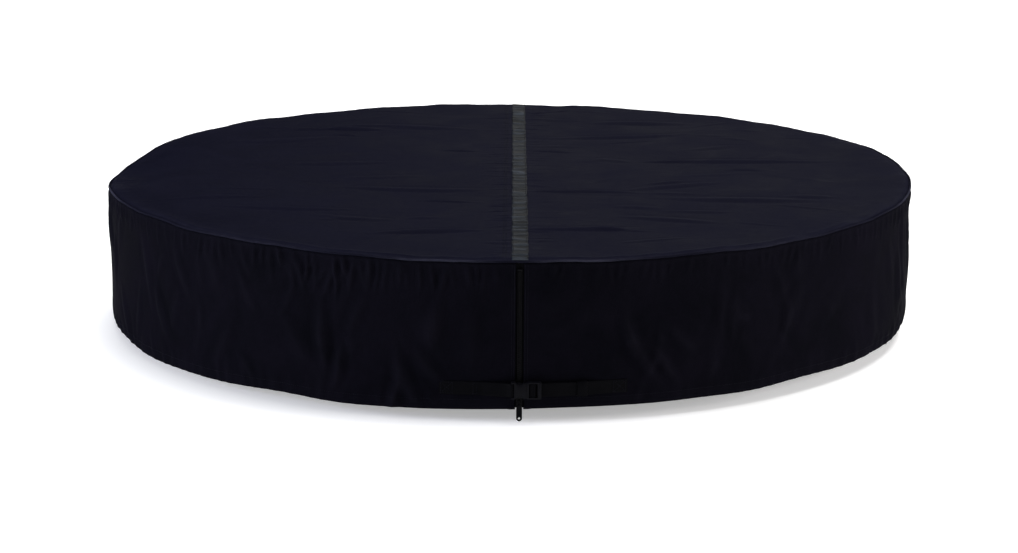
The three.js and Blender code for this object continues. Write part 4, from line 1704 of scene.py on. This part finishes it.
@dataclass
class ZipChain:
    """The moulded zip: two rows of teeth on their tapes, with a stop at each end."""

    layout: Layout
    pitch: float = 4 * MM
    tooth: float = 1.7 * MM
    reach: float = 1.3 * MM  # of a tooth's head past the zip's middle
    rail: float = 4 * MM  # from the zip's middle to the cord's far edge
    front: float = -0.6 * MM  # of the teeth, in the closure's y
    back: float = 2.3 * MM
    tape: float = 0.7 * MM
    tape_width: float = 16.4 * MM
    tape_lap: float = 0.4 * MM  # past the zip's middle
    tape_face: float = 2.65 * MM

    def build_teeth(self, side: Side, tree: NodeTree, material: Material) -> Object:
        """Make one row of teeth on its cord.

        Args:
            side: Which row.
            tree: The tree that repeats the tooth.
            material: Moulded acetal.

        Returns:
            The row.
        """
        low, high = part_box(f"zip_teeth_{side.word}")
        bottom, top = low.z, high.z
        sign = side.value
        shape = self._tooth(sign)
        count = int((top - bottom - 0.2 * MM) / self.pitch)
        first = bottom + self.tooth / 2 + (self.pitch / 2 if sign > 0 else 0) + 0.05 * MM
        last = first + (count - 1) * self.pitch + 0.1 * MM
        line = [Vector((0, 0, first)), Vector((0, 0, last))]
        rough = grown("tooth_row", tree, [line], {"Shape": shape, "Pitch": self.pitch, "Finish": material})
        bpy.data.objects.remove(shape)
        row = bmesh.new()
        row.from_mesh(rough.data)
        bpy.data.objects.remove(rough)
        middle = Vector((sign * (self.rail - 0.55 * MM), (self.front + self.back) / 2, (bottom + top) / 2))
        for vert in bmesh.ops.create_cube(row, size=1)["verts"]:
            x, y, z = vert.co
            vert.co = middle + Vector((x * 0.9 * MM, y * 2.3 * MM, z * (top - bottom)))
        for vert in row.verts:
            vert.co = self.layout.place(*vert.co)
        bmesh.ops.recalc_face_normals(row, faces=row.faces)
        mesh = bpy.data.meshes.new(f"zip_teeth_{side.word}_row")
        row.to_mesh(mesh)
        row.free()
        piece = dressed(mesh.name, mesh, material)
        piece.data.set_sharp_from_angle(angle=math.radians(35))
        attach(piece, "cover")
        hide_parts(f"zip_teeth_{side.word}")
        return piece

    def _tooth(self, sign: int) -> Object:
        """Model one tooth: a shoulder on the cord, a neck and a rounded head.

        Args:
            sign: -1 for the left row, 1 for the right.

        Returns:
            The tooth, to be repeated and then removed.
        """
        half = self.tooth / 2
        shoulder = [(self.rail - 0.1 * MM, half), (1.6 * MM, half)]
        neck = [(0.9 * MM, half * 0.72), (0.1 * MM, half * 0.78)]
        head = [(-0.7 * MM, half), (-self.reach + 0.1 * MM, half * 0.6), (-self.reach, 0.0)]
        outline = shoulder + neck + head
        corners = outline + [(x, -z) for x, z in reversed(outline[:-1])]
        solid = bmesh.new()
        face = solid.faces.new([solid.verts.new((sign * x, self.front, z)) for x, z in corners])
        pushed = bmesh.ops.extrude_face_region(solid, geom=[face])["geom"]
        moved = [part for part in pushed if isinstance(part, bmesh.types.BMVert)]
        bmesh.ops.translate(solid, verts=moved, vec=(0, self.back - self.front, 0))
        bmesh.ops.recalc_face_normals(solid, faces=solid.faces)
        middle = (self.front + self.back) / 2
        depths = [(edge, edge.verts[0].co.y, edge.verts[1].co.y) for edge in solid.edges]
        rims = [edge for edge, near, far in depths if abs(near - far) < 1e-9 and near < middle]
        bmesh.ops.bevel(solid, geom=rims, offset=0.22 * MM, segments=1, affect="EDGES", clamp_overlap=True)
        mesh = bpy.data.meshes.new("tooth")
        solid.to_mesh(mesh)
        solid.free()
        tooth = bpy.data.objects.new("tooth", mesh)
        bpy.context.scene.collection.objects.link(tooth)
        return tooth

    def build_tape(self, side: Side, material: Material) -> Object:
        """Make the tape that carries one row, with a slight ripple between its stitches.

        Args:
            side: Which tape.
            material: Herringbone tape.

        Returns:
            The tape.
        """
        low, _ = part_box(f"zip_tape_{side.word}")
        x = side.value * np.linspace(-self.tape_lap, self.tape_width, 13)[None, :]
        z = np.linspace(self.layout.skirt_top + 0.6 * MM, low.z, 110)[:, None]
        wide_x, wide_z = np.broadcast_arrays(x, z)
        ripple = 0.12 * MM * np.sin(wide_z * 410) * smooth(0.005, 0.012, np.abs(wide_x))
        if side is Side.RIGHT:
            # its inner edge lies behind the left tape's
            ripple = ripple + 0.9 * MM * smooth(3.0 * MM, 0.6 * MM, wide_x)
        spots = zip(wide_x.ravel().tolist(), ripple.ravel().tolist(), wide_z.ravel().tolist())
        points = np.array([self.layout.place(a, self.tape_face + r, b) for a, r, b in spots])
        flat = np.stack([wide_z, wide_x], -1)
        grid = ClothGrid(points.reshape(*wide_x.shape, 3), flat, np.full(wide_x.shape, 0.2))
        tape = grid.build(f"zip_tape_{side.word}_cloth", material)
        thickened(tape, self.tape)
        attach(tape, "cover")
        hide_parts(f"zip_tape_{side.word}")
        return tape


# ---------------------------------------------------------------- moulded and cast parts


def refined(node: str, body: str, slot: str, material: Material, edge: float) -> Object:
    """Copy a hard part from the frame and break its edges as a mould leaves them.

    Args:
        node: The part's node.
        body: The body it rides on.
        slot: Its material slot; not used.
        material: Its finish.
        edge: The radius of its broken edges.

    Returns:
        The finished part, which stands for the node.
    """
    solid = bmesh.new()
    solid.from_mesh(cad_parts[node].data)
    bmesh.ops.remove_doubles(solid, verts=solid.verts, dist=0.004 * MM)
    bmesh.ops.dissolve_limit(solid, angle_limit=math.radians(1), verts=solid.verts, edges=solid.edges)
    mesh = bpy.data.meshes.new(node + "_moulded")
    solid.to_mesh(mesh)
    solid.free()
    piece = dressed(mesh.name, mesh, material)
    broken = piece.modifiers.new("broken edges", "BEVEL")
    broken.width = edge
    broken.segments = 2
    broken.limit_method = "ANGLE"
    broken.angle_limit = math.radians(38)
    broken.use_clamp_overlap = True
    mesh = bpy.data.meshes.new_from_object(piece.evaluated_get(bpy.context.evaluated_depsgraph_get()))
    piece.modifiers.clear()
    piece.data = mesh
    mesh.name = piece.name
    mesh.set_sharp_from_angle(angle=math.radians(40))
    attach(piece, body)
    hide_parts(node)
    return piece


@dataclass
class Hardware:
    """The moulded and die-cast parts: buckle, prongs, keeper, slider, pull and the zip's stops."""

    buckle_edge: float = 0.4 * MM
    prong_edge: float = 0.5 * MM
    keeper_edge: float = 0.35 * MM
    slider_back_edge: float = 0.35 * MM
    zip_edge: float = 0.3 * MM

    def build(self, plastic: Material, keeper: Material, metal: Material, teeth: Material) -> list[Object]:
        """Make every hard part from its node.

        Args:
            plastic: The buckle's finish.
            keeper: The strap keeper's finish.
            metal: The slider's finish.
            teeth: The zip's finish.

        Returns:
            The parts.
        """
        parts = [
            ("buckle_socket", "cover", "buckle_plastic", plastic, self.buckle_edge),
            ("buckle_plug", "plug", "buckle_plastic", plastic, self.buckle_edge),
            ("plug_prong_upper", "prong_upper", "buckle_plastic", plastic, self.prong_edge),
            ("plug_prong_lower", "prong_lower", "buckle_plastic", plastic, self.prong_edge),
            ("strap_keeper", "keeper", "buckle_plastic", keeper, self.keeper_edge),
            ("zip_slider_front", "slider", "slider_metal", metal, self.zip_edge),
            ("zip_slider_back", "slider", "slider_metal", metal, self.slider_back_edge),
            ("zip_pull", "pull", "slider_metal", metal, self.zip_edge),
            ("zip_stop_left", "cover", "zip_plastic", teeth, self.zip_edge),
            ("zip_stop_right", "cover", "zip_plastic", teeth, self.zip_edge),
            ("zip_end_stop", "cover", "zip_plastic", teeth, self.zip_edge),
        ]
        return [refined(*part) for part in parts]


# ---------------------------------------------------------------- straps


@dataclass
class Strap:
    """Webbing that follows a route in plan, standing on edge."""

    layout: Layout
    width: float = 25 * MM
    thickness: float = 1.5 * MM
    sewn_gap: float = 0.4 * MM  # from the skirt to the sewn webbing
    layer: float = 1.9 * MM  # from one layer's middle to the next
    left_end: float = -0.146  # in the closure's x, as are the three below
    left_sewn: float = -0.074
    plug_end: float = 0.042
    right_sewn: float = 0.170

    def band(self, name: str, route: Sequence[tuple[float, float]], material: Material) -> Object:
        """Make the webbing along a route.

        Args:
            name: The piece's name.
            route: The middle of the webbing, in the closure's x and y.
            material: Its weave.

        Returns:
            The webbing.
        """
        path = np.array(route)
        for _ in range(2):
            cut = np.empty((2 * len(path) - 2, 2))
            cut[0::2] = 0.85 * path[:-1] + 0.15 * path[1:]
            cut[1::2] = 0.15 * path[:-1] + 0.85 * path[1:]
            path = np.vstack([path[:1], cut, path[-1:]])
        tangent = np.gradient(path, axis=0)
        tangent /= np.linalg.norm(tangent, axis=1)[:, None]
        cosine, sine = math.cos(self.layout.lean), math.sin(self.layout.lean)
        normal = np.stack([-tangent[:, 1], tangent[:, 0]], -1)
        out = np.stack(
            [
                normal[:, 0] * cosine - normal[:, 1] * sine,
                normal[:, 0] * sine + normal[:, 1] * cosine,
                np.zeros(len(path)),
            ],
            -1,
        )
        middle = np.array([self.layout.place(float(x), float(y), self.layout.strap_z) for x, y in path])
        half, thick = self.width / 2, self.thickness / 2
        face = [
            -half,
            -half + 0.5 * MM,
            -half + 2.5 * MM,
            -half / 2,
            0.0,
            half / 2,
            half - 2.5 * MM,
            half - 0.5 * MM,
            half,
        ]
        depth = [0.45, 0.8, 1.0, 0.94, 1.0, 0.94, 1.0, 0.8, 0.45]
        section = (
            [(thick * d, z) for z, d in zip(face, depth)]
            + [(-thick * d, z) for z, d in zip(reversed(face), reversed(depth))]
        )
        return swept(name, middle, out, section, material)

    def build_left(self, material: Material) -> Object:
        """Make the left strap: sewn down, up to the socket's bar, round it and back over itself.

        Args:
            material: Its weave.

        Returns:
            The left strap.
        """
        flat = np.linspace(self.left_end, self.left_sewn, 9)
        sewn = [(x, self.layout.wall(x) - self.sewn_gap - self.thickness / 2) for x in flat]
        foot, head = sewn[-1], (-0.020, -0.0097)

        def climb(share: float, lift: float) -> tuple[float, float]:
            """A point on the way up to the bar, lifted off it."""
            return tuple(a + (b - a) * share - drop for a, b, drop in zip(foot, head, (0.0, lift)))

        bar = [
            *((-0.0116, -0.0096), (-0.0109, -0.0103), (-0.0109, -0.0147)),
            *((-0.0116, -0.0154), (-0.0155, -0.0154), (-0.021, -0.0122)),
        ]
        over = [climb(share, self.layer * 1.05) for share in (0.85, 0.6, 0.36, 0.12)]
        rising = [climb(share, 0.0) for share in (0.25, 0.5, 0.75)]
        strap = self.band("strap_left_webbing", [*sewn, *rising, head, *bar, *over], material)
        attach(strap, "cover")
        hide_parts("strap_left")
        return strap

    def run(self, x: float) -> float:
        """The right strap's place between the plug and its sewn end, in the closure's axes."""
        near, far = self.plug_end, self.right_sewn
        most, least = self.layout.wall(near) + 8.6 * MM, self.sewn_gap + 0.8 * MM
        off_wall = max(most - (most - least) * (x - near) / (far - near), least)
        proud = 0.3 * MM * math.exp(-(((x - 0.086) / 0.018) ** 2))  # keeps to the keeper's straight path
        return self.layout.wall(x) - off_wall - proud

    def build_right(self, material: Material) -> Object:
        """Make the right strap: from its sewn end to the plug, over the middle bar, and its tail back.

        Args:
            material: Its weave.

        Returns:
            The right strap.
        """
        loaded = (*np.linspace(0.198, self.right_sewn, 4), *np.linspace(0.154, self.plug_end, 8))
        load = [(x, self.run(x)) for x in loaded]
        bar = [
            *((0.0199, -0.0086), (0.0192, -0.0093), (0.0192, -0.0146), (0.0199, -0.0153)),
            *((0.0285, -0.0153), (0.0292, -0.0146), (0.0292, -0.012), (0.031, -0.0105)),
        ]
        tail = [(x, self.run(x) - self.layer * 1.03) for x in np.linspace(self.plug_end, 0.140, 8)]
        strap = self.band("strap_right_webbing", [*load, *bar, *tail], material)
        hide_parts("strap_right")
        start, end = (tuple(self.layout.place(x, 0.0, self.layout.strap_z)) for x in (0.034, 0.094))
        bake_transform(strap)
        return strap


# ---------------------------------------------------------------- sewing


@dataclass
class Sewing:
    """Every visible row of stitches, laid on the finished cloth."""

    shape: CoverShape
    pitch: float = 4.2 * MM
    length: float = 3.5 * MM
    thickness: float = 0.9 * MM
    lift: float = 0.1 * MM  # of a stitch's middle off the cloth

    def build(self, tree: NodeTree, material: Material, cloths: dict[str, Object]) -> list[Object]:
        """Sew the seams.

        Args:
            tree: The tree that lays stitches along lines.
            material: The thread.
            cloths: The finished cloth pieces, by name.

        Returns:
            The rows of stitches, one piece for each seam.
        """
        groups = {
            "stitches_strip": self._strip_rows(cloths),
            "stitches_zip": self._zip_rows(cloths),
            "stitches_hem": self._hem_rows(cloths),
            "stitches_back_seam": self._back_rows(cloths),
            "stitches_strap": self._strap_boxes(cloths),
        }
        values = {
            "Pitch": self.pitch,
            "Length": self.length,
            "Thickness": self.thickness,
            "Unevenness": 0.08,
            "Seed": 3,
            "Finish": material,
        }
        sewn = []
        for name, lines in groups.items():
            rows = grown(name, tree, lines, values)
            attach(rows, "cover")
            sewn.append(rows)
            log.info("%s: %d faces", name, len(rows.data.polygons))
        return sewn

    def _strip_rows(self, cloths: dict[str, Object]) -> list[list[Vector]]:
        """The twin rows left of the strip and the rows along both its edges."""
        seam = self.shape.layout.seam_x
        y = np.linspace(-0.812, 0.812, 420)
        rows = []
        beside = [(seam - 26 * MM, "top_panel_left_cloth"), (seam - 31 * MM, "top_panel_left_cloth")]
        edges = [(seam + 13 * MM, "reflective_strip_tape"), (seam - 13 * MM, "reflective_strip_tape")]
        for x, cloth in beside + edges:
            spots = [Vector((x + 0.4 * MM * math.sin(b * 57), b, 0.004)) for b in y]
            rows.append(on_surface(cloths[cloth], spots, self.lift))
        return rows

    def _zip_rows(self, cloths: dict[str, Object]) -> list[list[Vector]]:
        """Twin rows down each side of the zip."""
        layout = self.shape.layout
        rows = []
        for side in Side:
            for x in (10 * MM, 14.5 * MM):
                heights = np.linspace(layout.skirt_top - 5 * MM, layout.hem + 3 * MM, 90)
                spots = [layout.place(side.value * x, layout.wall(x), z) for z in heights]
                rows.append(on_surface(cloths[f"skirt_{side.word}_cloth"], spots, self.lift))
        return rows

    def _hem_rows(self, cloths: dict[str, Object]) -> list[list[Vector]]:
        """One row round the hem, which closes the elastic's casing."""
        layout = self.shape.layout
        rows = []
        for side in Side:
            skirt = SkirtHalf(self.shape, side)
            start, stop = skirt.ends
            u = np.linspace(start + side.value * 0.012, stop - side.value * 0.003, 620)
            v = np.full_like(u, layout.skirt_top - layout.hem - skirt.casing + 1.5 * MM)
            rows.append(
                on_surface(
                    cloths[f"skirt_{side.word}_cloth"], [Vector(p) for p in self.shape.skirt(u, v)], self.lift
                ),
            )
        return rows

    def _back_rows(self, cloths: dict[str, Object]) -> list[list[Vector]]:
        """Twin rows beside the back seam."""
        layout = self.shape.layout
        depth = layout.skirt_top - layout.hem
        rows = []
        for side in Side:
            _, stop = SkirtHalf(self.shape, side).ends
            v = np.linspace(6 * MM, depth - 4 * MM, 90)
            u = np.full_like(v, stop - side.value * 5 * MM)
            rows.append(
                on_surface(
                    cloths[f"skirt_{side.word}_cloth"], [Vector(p) for p in self.shape.skirt(u, v)], self.lift
                ),
            )
        return rows

    def _strap_boxes(self, cloths: dict[str, Object]) -> list[list[Vector]]:
        """A crossed box at each sewn strap end, and a narrow box of stitches where the left strap leaves the
        cloth.
        """
        layout = self.shape.layout
        rows = []
        low, high = layout.strap_z - 10 * MM, layout.strap_z + 10 * MM
        left, right = "strap_left_webbing", "strap_right_webbing"
        for name, start, stop in ((left, -0.143, -0.122), (left, -0.084, -0.077), (right, 0.173, 0.195)):
            lines = [[(start, low), (stop, low), (stop, high), (start, high), (start, low)]]
            if stop - start > 15 * MM:
                lines += [[(start, low), (stop, high)], [(start, high), (stop, low)]]
            for line in lines:
                rows.append(on_surface(cloths[name], self._along(line), self.lift))
        return rows

    def _along(self, line: Sequence[tuple[float, float]]) -> list[Vector]:
        """Set points along a line drawn on the skirt, a little in front of it.

        Args:
            line: Corners of the line, in the closure's x and z.

        Returns:
            The points in the cover's axes, eight to each stretch.
        """
        layout = self.shape.layout
        shares = np.linspace(0, 1, 9)[:-1]
        places = []
        for (x0, z0), (x1, z1) in zip(line[:-1], line[1:]):
            places += [(x0 + (x1 - x0) * share, z0 + (z1 - z0) * share) for share in shares]
        places.append(line[-1])
        return [layout.place(x, layout.wall(x) - 3 * MM, z) for x, z in places]


# ---------------------------------------------------------------- studio


@dataclass
class Studio:
    """A plain pale floor, soft light all round, and the camera."""

    distance: float = 5.8
    elevation: float = math.radians(11.16)
    pitch: float = math.radians(13.29)
    roll: float = math.radians(0.4)
    lens: float = 98.0
    floor_z: float = -0.299  # clears the pull, which hangs below the hem
    floor_half: float = 30.0
    floor_glow: float = 0.37  # keeps the floor white where the light falls off

    def build(self) -> None:
        """Set up the floor, the lights and the camera."""
        scene = bpy.context.scene
        scene.view_settings.view_transform = "Standard"
        self._floor()
        self._lights()
        camera = bpy.data.objects.new("camera", bpy.data.cameras.new("camera"))
        camera.data.lens = self.lens
        camera.data.sensor_width = 36.0
        camera.location = (
            0, -self.distance * math.cos(self.elevation), self.distance * math.sin(self.elevation)
        )
        camera.rotation_euler = (
            Matrix.Rotation(math.pi / 2 - self.pitch, 3, "X") @ Matrix.Rotation(self.roll, 3, "Z")
        ).to_euler()
        scene.collection.objects.link(camera)
        scene.camera = camera

    def _floor(self) -> None:
        """Lay a wide matt floor under the cover."""
        half = self.floor_half
        corners = [
            (x, y, self.floor_z) for x, y in ((-half, -half), (half, -half), (half, half), (-half, half))
        ]
        mesh = bpy.data.meshes.new("floor")
        mesh.from_pydata(corners, [], [(0, 1, 2, 3)])
        floor = bpy.data.objects.new("floor", mesh)
        material, tree = blank_material("Matt white studio paint")
        place = add(tree, "ShaderNodeTexCoord").outputs["Object"]
        mottle = add(tree, "ShaderNodeTexNoise", {"Vector": place, "Scale": 3.0, "Detail": 3.0})
        colour = add(
            tree,
            "ShaderNodeMix",
            {0: mottle.outputs["Fac"], 6: linear("#f2f2f0"), 7: linear("#f5f5f4")},
            data_type="RGBA",
        )
        shader = add(
            tree,
            "ShaderNodeBsdfPrincipled",
            {
                "Base Color": colour.outputs[2],
                "Roughness": 0.9,
                "Specular IOR Level": 0.1,
                "Emission Color": linear("#ffffff"),
                "Emission Strength": self.floor_glow,
            },
        )
        add(tree, "ShaderNodeOutputMaterial", {"Surface": shader.outputs["BSDF"]})
        mesh.materials.append(material)
        bpy.context.scene.collection.objects.link(floor)

    def _lights(self) -> None:
        """Hang a wide overhead sun, two side panels and one behind, over a pale world."""
        scene = bpy.context.scene
        world = bpy.data.worlds.new("studio")
        scene.world = world
        world.use_nodes = True
        background = world.node_tree.nodes["Background"]
        background.inputs["Color"].default_value = (0.9, 0.93, 1.0, 1)
        background.inputs["Strength"].default_value = 0.07
        sun = bpy.data.lights.new("overhead", "SUN")
        sun.energy = 2.6
        sun.angle = math.radians(38)
        overhead = bpy.data.objects.new("overhead", sun)
        overhead.rotation_euler = (math.radians(-14), math.radians(10), 0)
        scene.collection.objects.link(overhead)
        for name, spot, size, watts, tint in (
            ("softbox above", (0.0, 1.0, 7.0), 12.0, 275, (1.0, 1.0, 1.0)),
            ("left panel", (-4.4, -1.6, 0.7), 2.4, 225, (0.80, 0.83, 1.0)),
            ("right panel", (4.5, -1.2, 0.7), 2.4, 190, (1.0, 0.97, 0.98)),
            ("back panel", (1.2, 5.0, 2.4), 4.0, 40, (1.0, 1.0, 1.0)),
        ):
            light = bpy.data.lights.new(name, "AREA")
            light.shape = "SQUARE"
            light.size = size
            light.energy = watts
            light.color = tint
            panel = bpy.data.objects.new(name, light)
            panel.location = spot
            panel.rotation_euler = (Vector((0, 0, -0.1)) - Vector(spot)).to_track_quat("-Z", "Y").to_euler()
            scene.collection.objects.link(panel)


def main() -> None:
    """Build the studio and the cover, and report each piece."""
    logging.basicConfig(level=logging.INFO, format="%(name)s: %(message)s")
    Studio().build()
    layout = Layout.from_frame()
    shape = CoverShape(layout)
    wardrobe = Wardrobe()
    pieces: list[Object] = []
    for side in Side:
        pieces.append(RimPiping(shape, side).build(wardrobe.piping))
    for side in Side:
        pieces.append(TopPanel(shape, side).build(wardrobe.top))
        skirt = SkirtHalf(shape, side)
        pieces += [skirt.build(wardrobe.skirt), skirt.build_elastic(wardrobe.elastic)]
    pieces.append(ReflectiveStrip(shape).build(wardrobe.tape))
    pieces += InnerTapes(shape).build(wardrobe.binding)
    chain = ZipChain(layout)
    rows_tree = tooth_tree()
    for side in Side:
        pieces += [
            chain.build_tape(side, wardrobe.zip_tape), chain.build_teeth(side, rows_tree, wardrobe.teeth)
        ]
    pieces += Hardware().build(wardrobe.buckle, wardrobe.keeper, wardrobe.slider, wardrobe.teeth)
    strap = Strap(layout)
    pieces += [strap.build_left(wardrobe.webbing), strap.build_right(wardrobe.webbing)]
    pieces += Sewing(shape).build(stitch_tree(), wardrobe.thread, {piece.name: piece for piece in pieces})
    for piece in pieces:
        log.info("%s: %d points", piece.name, len(piece.data.vertices))


if __name__ == "__main__":
    main()
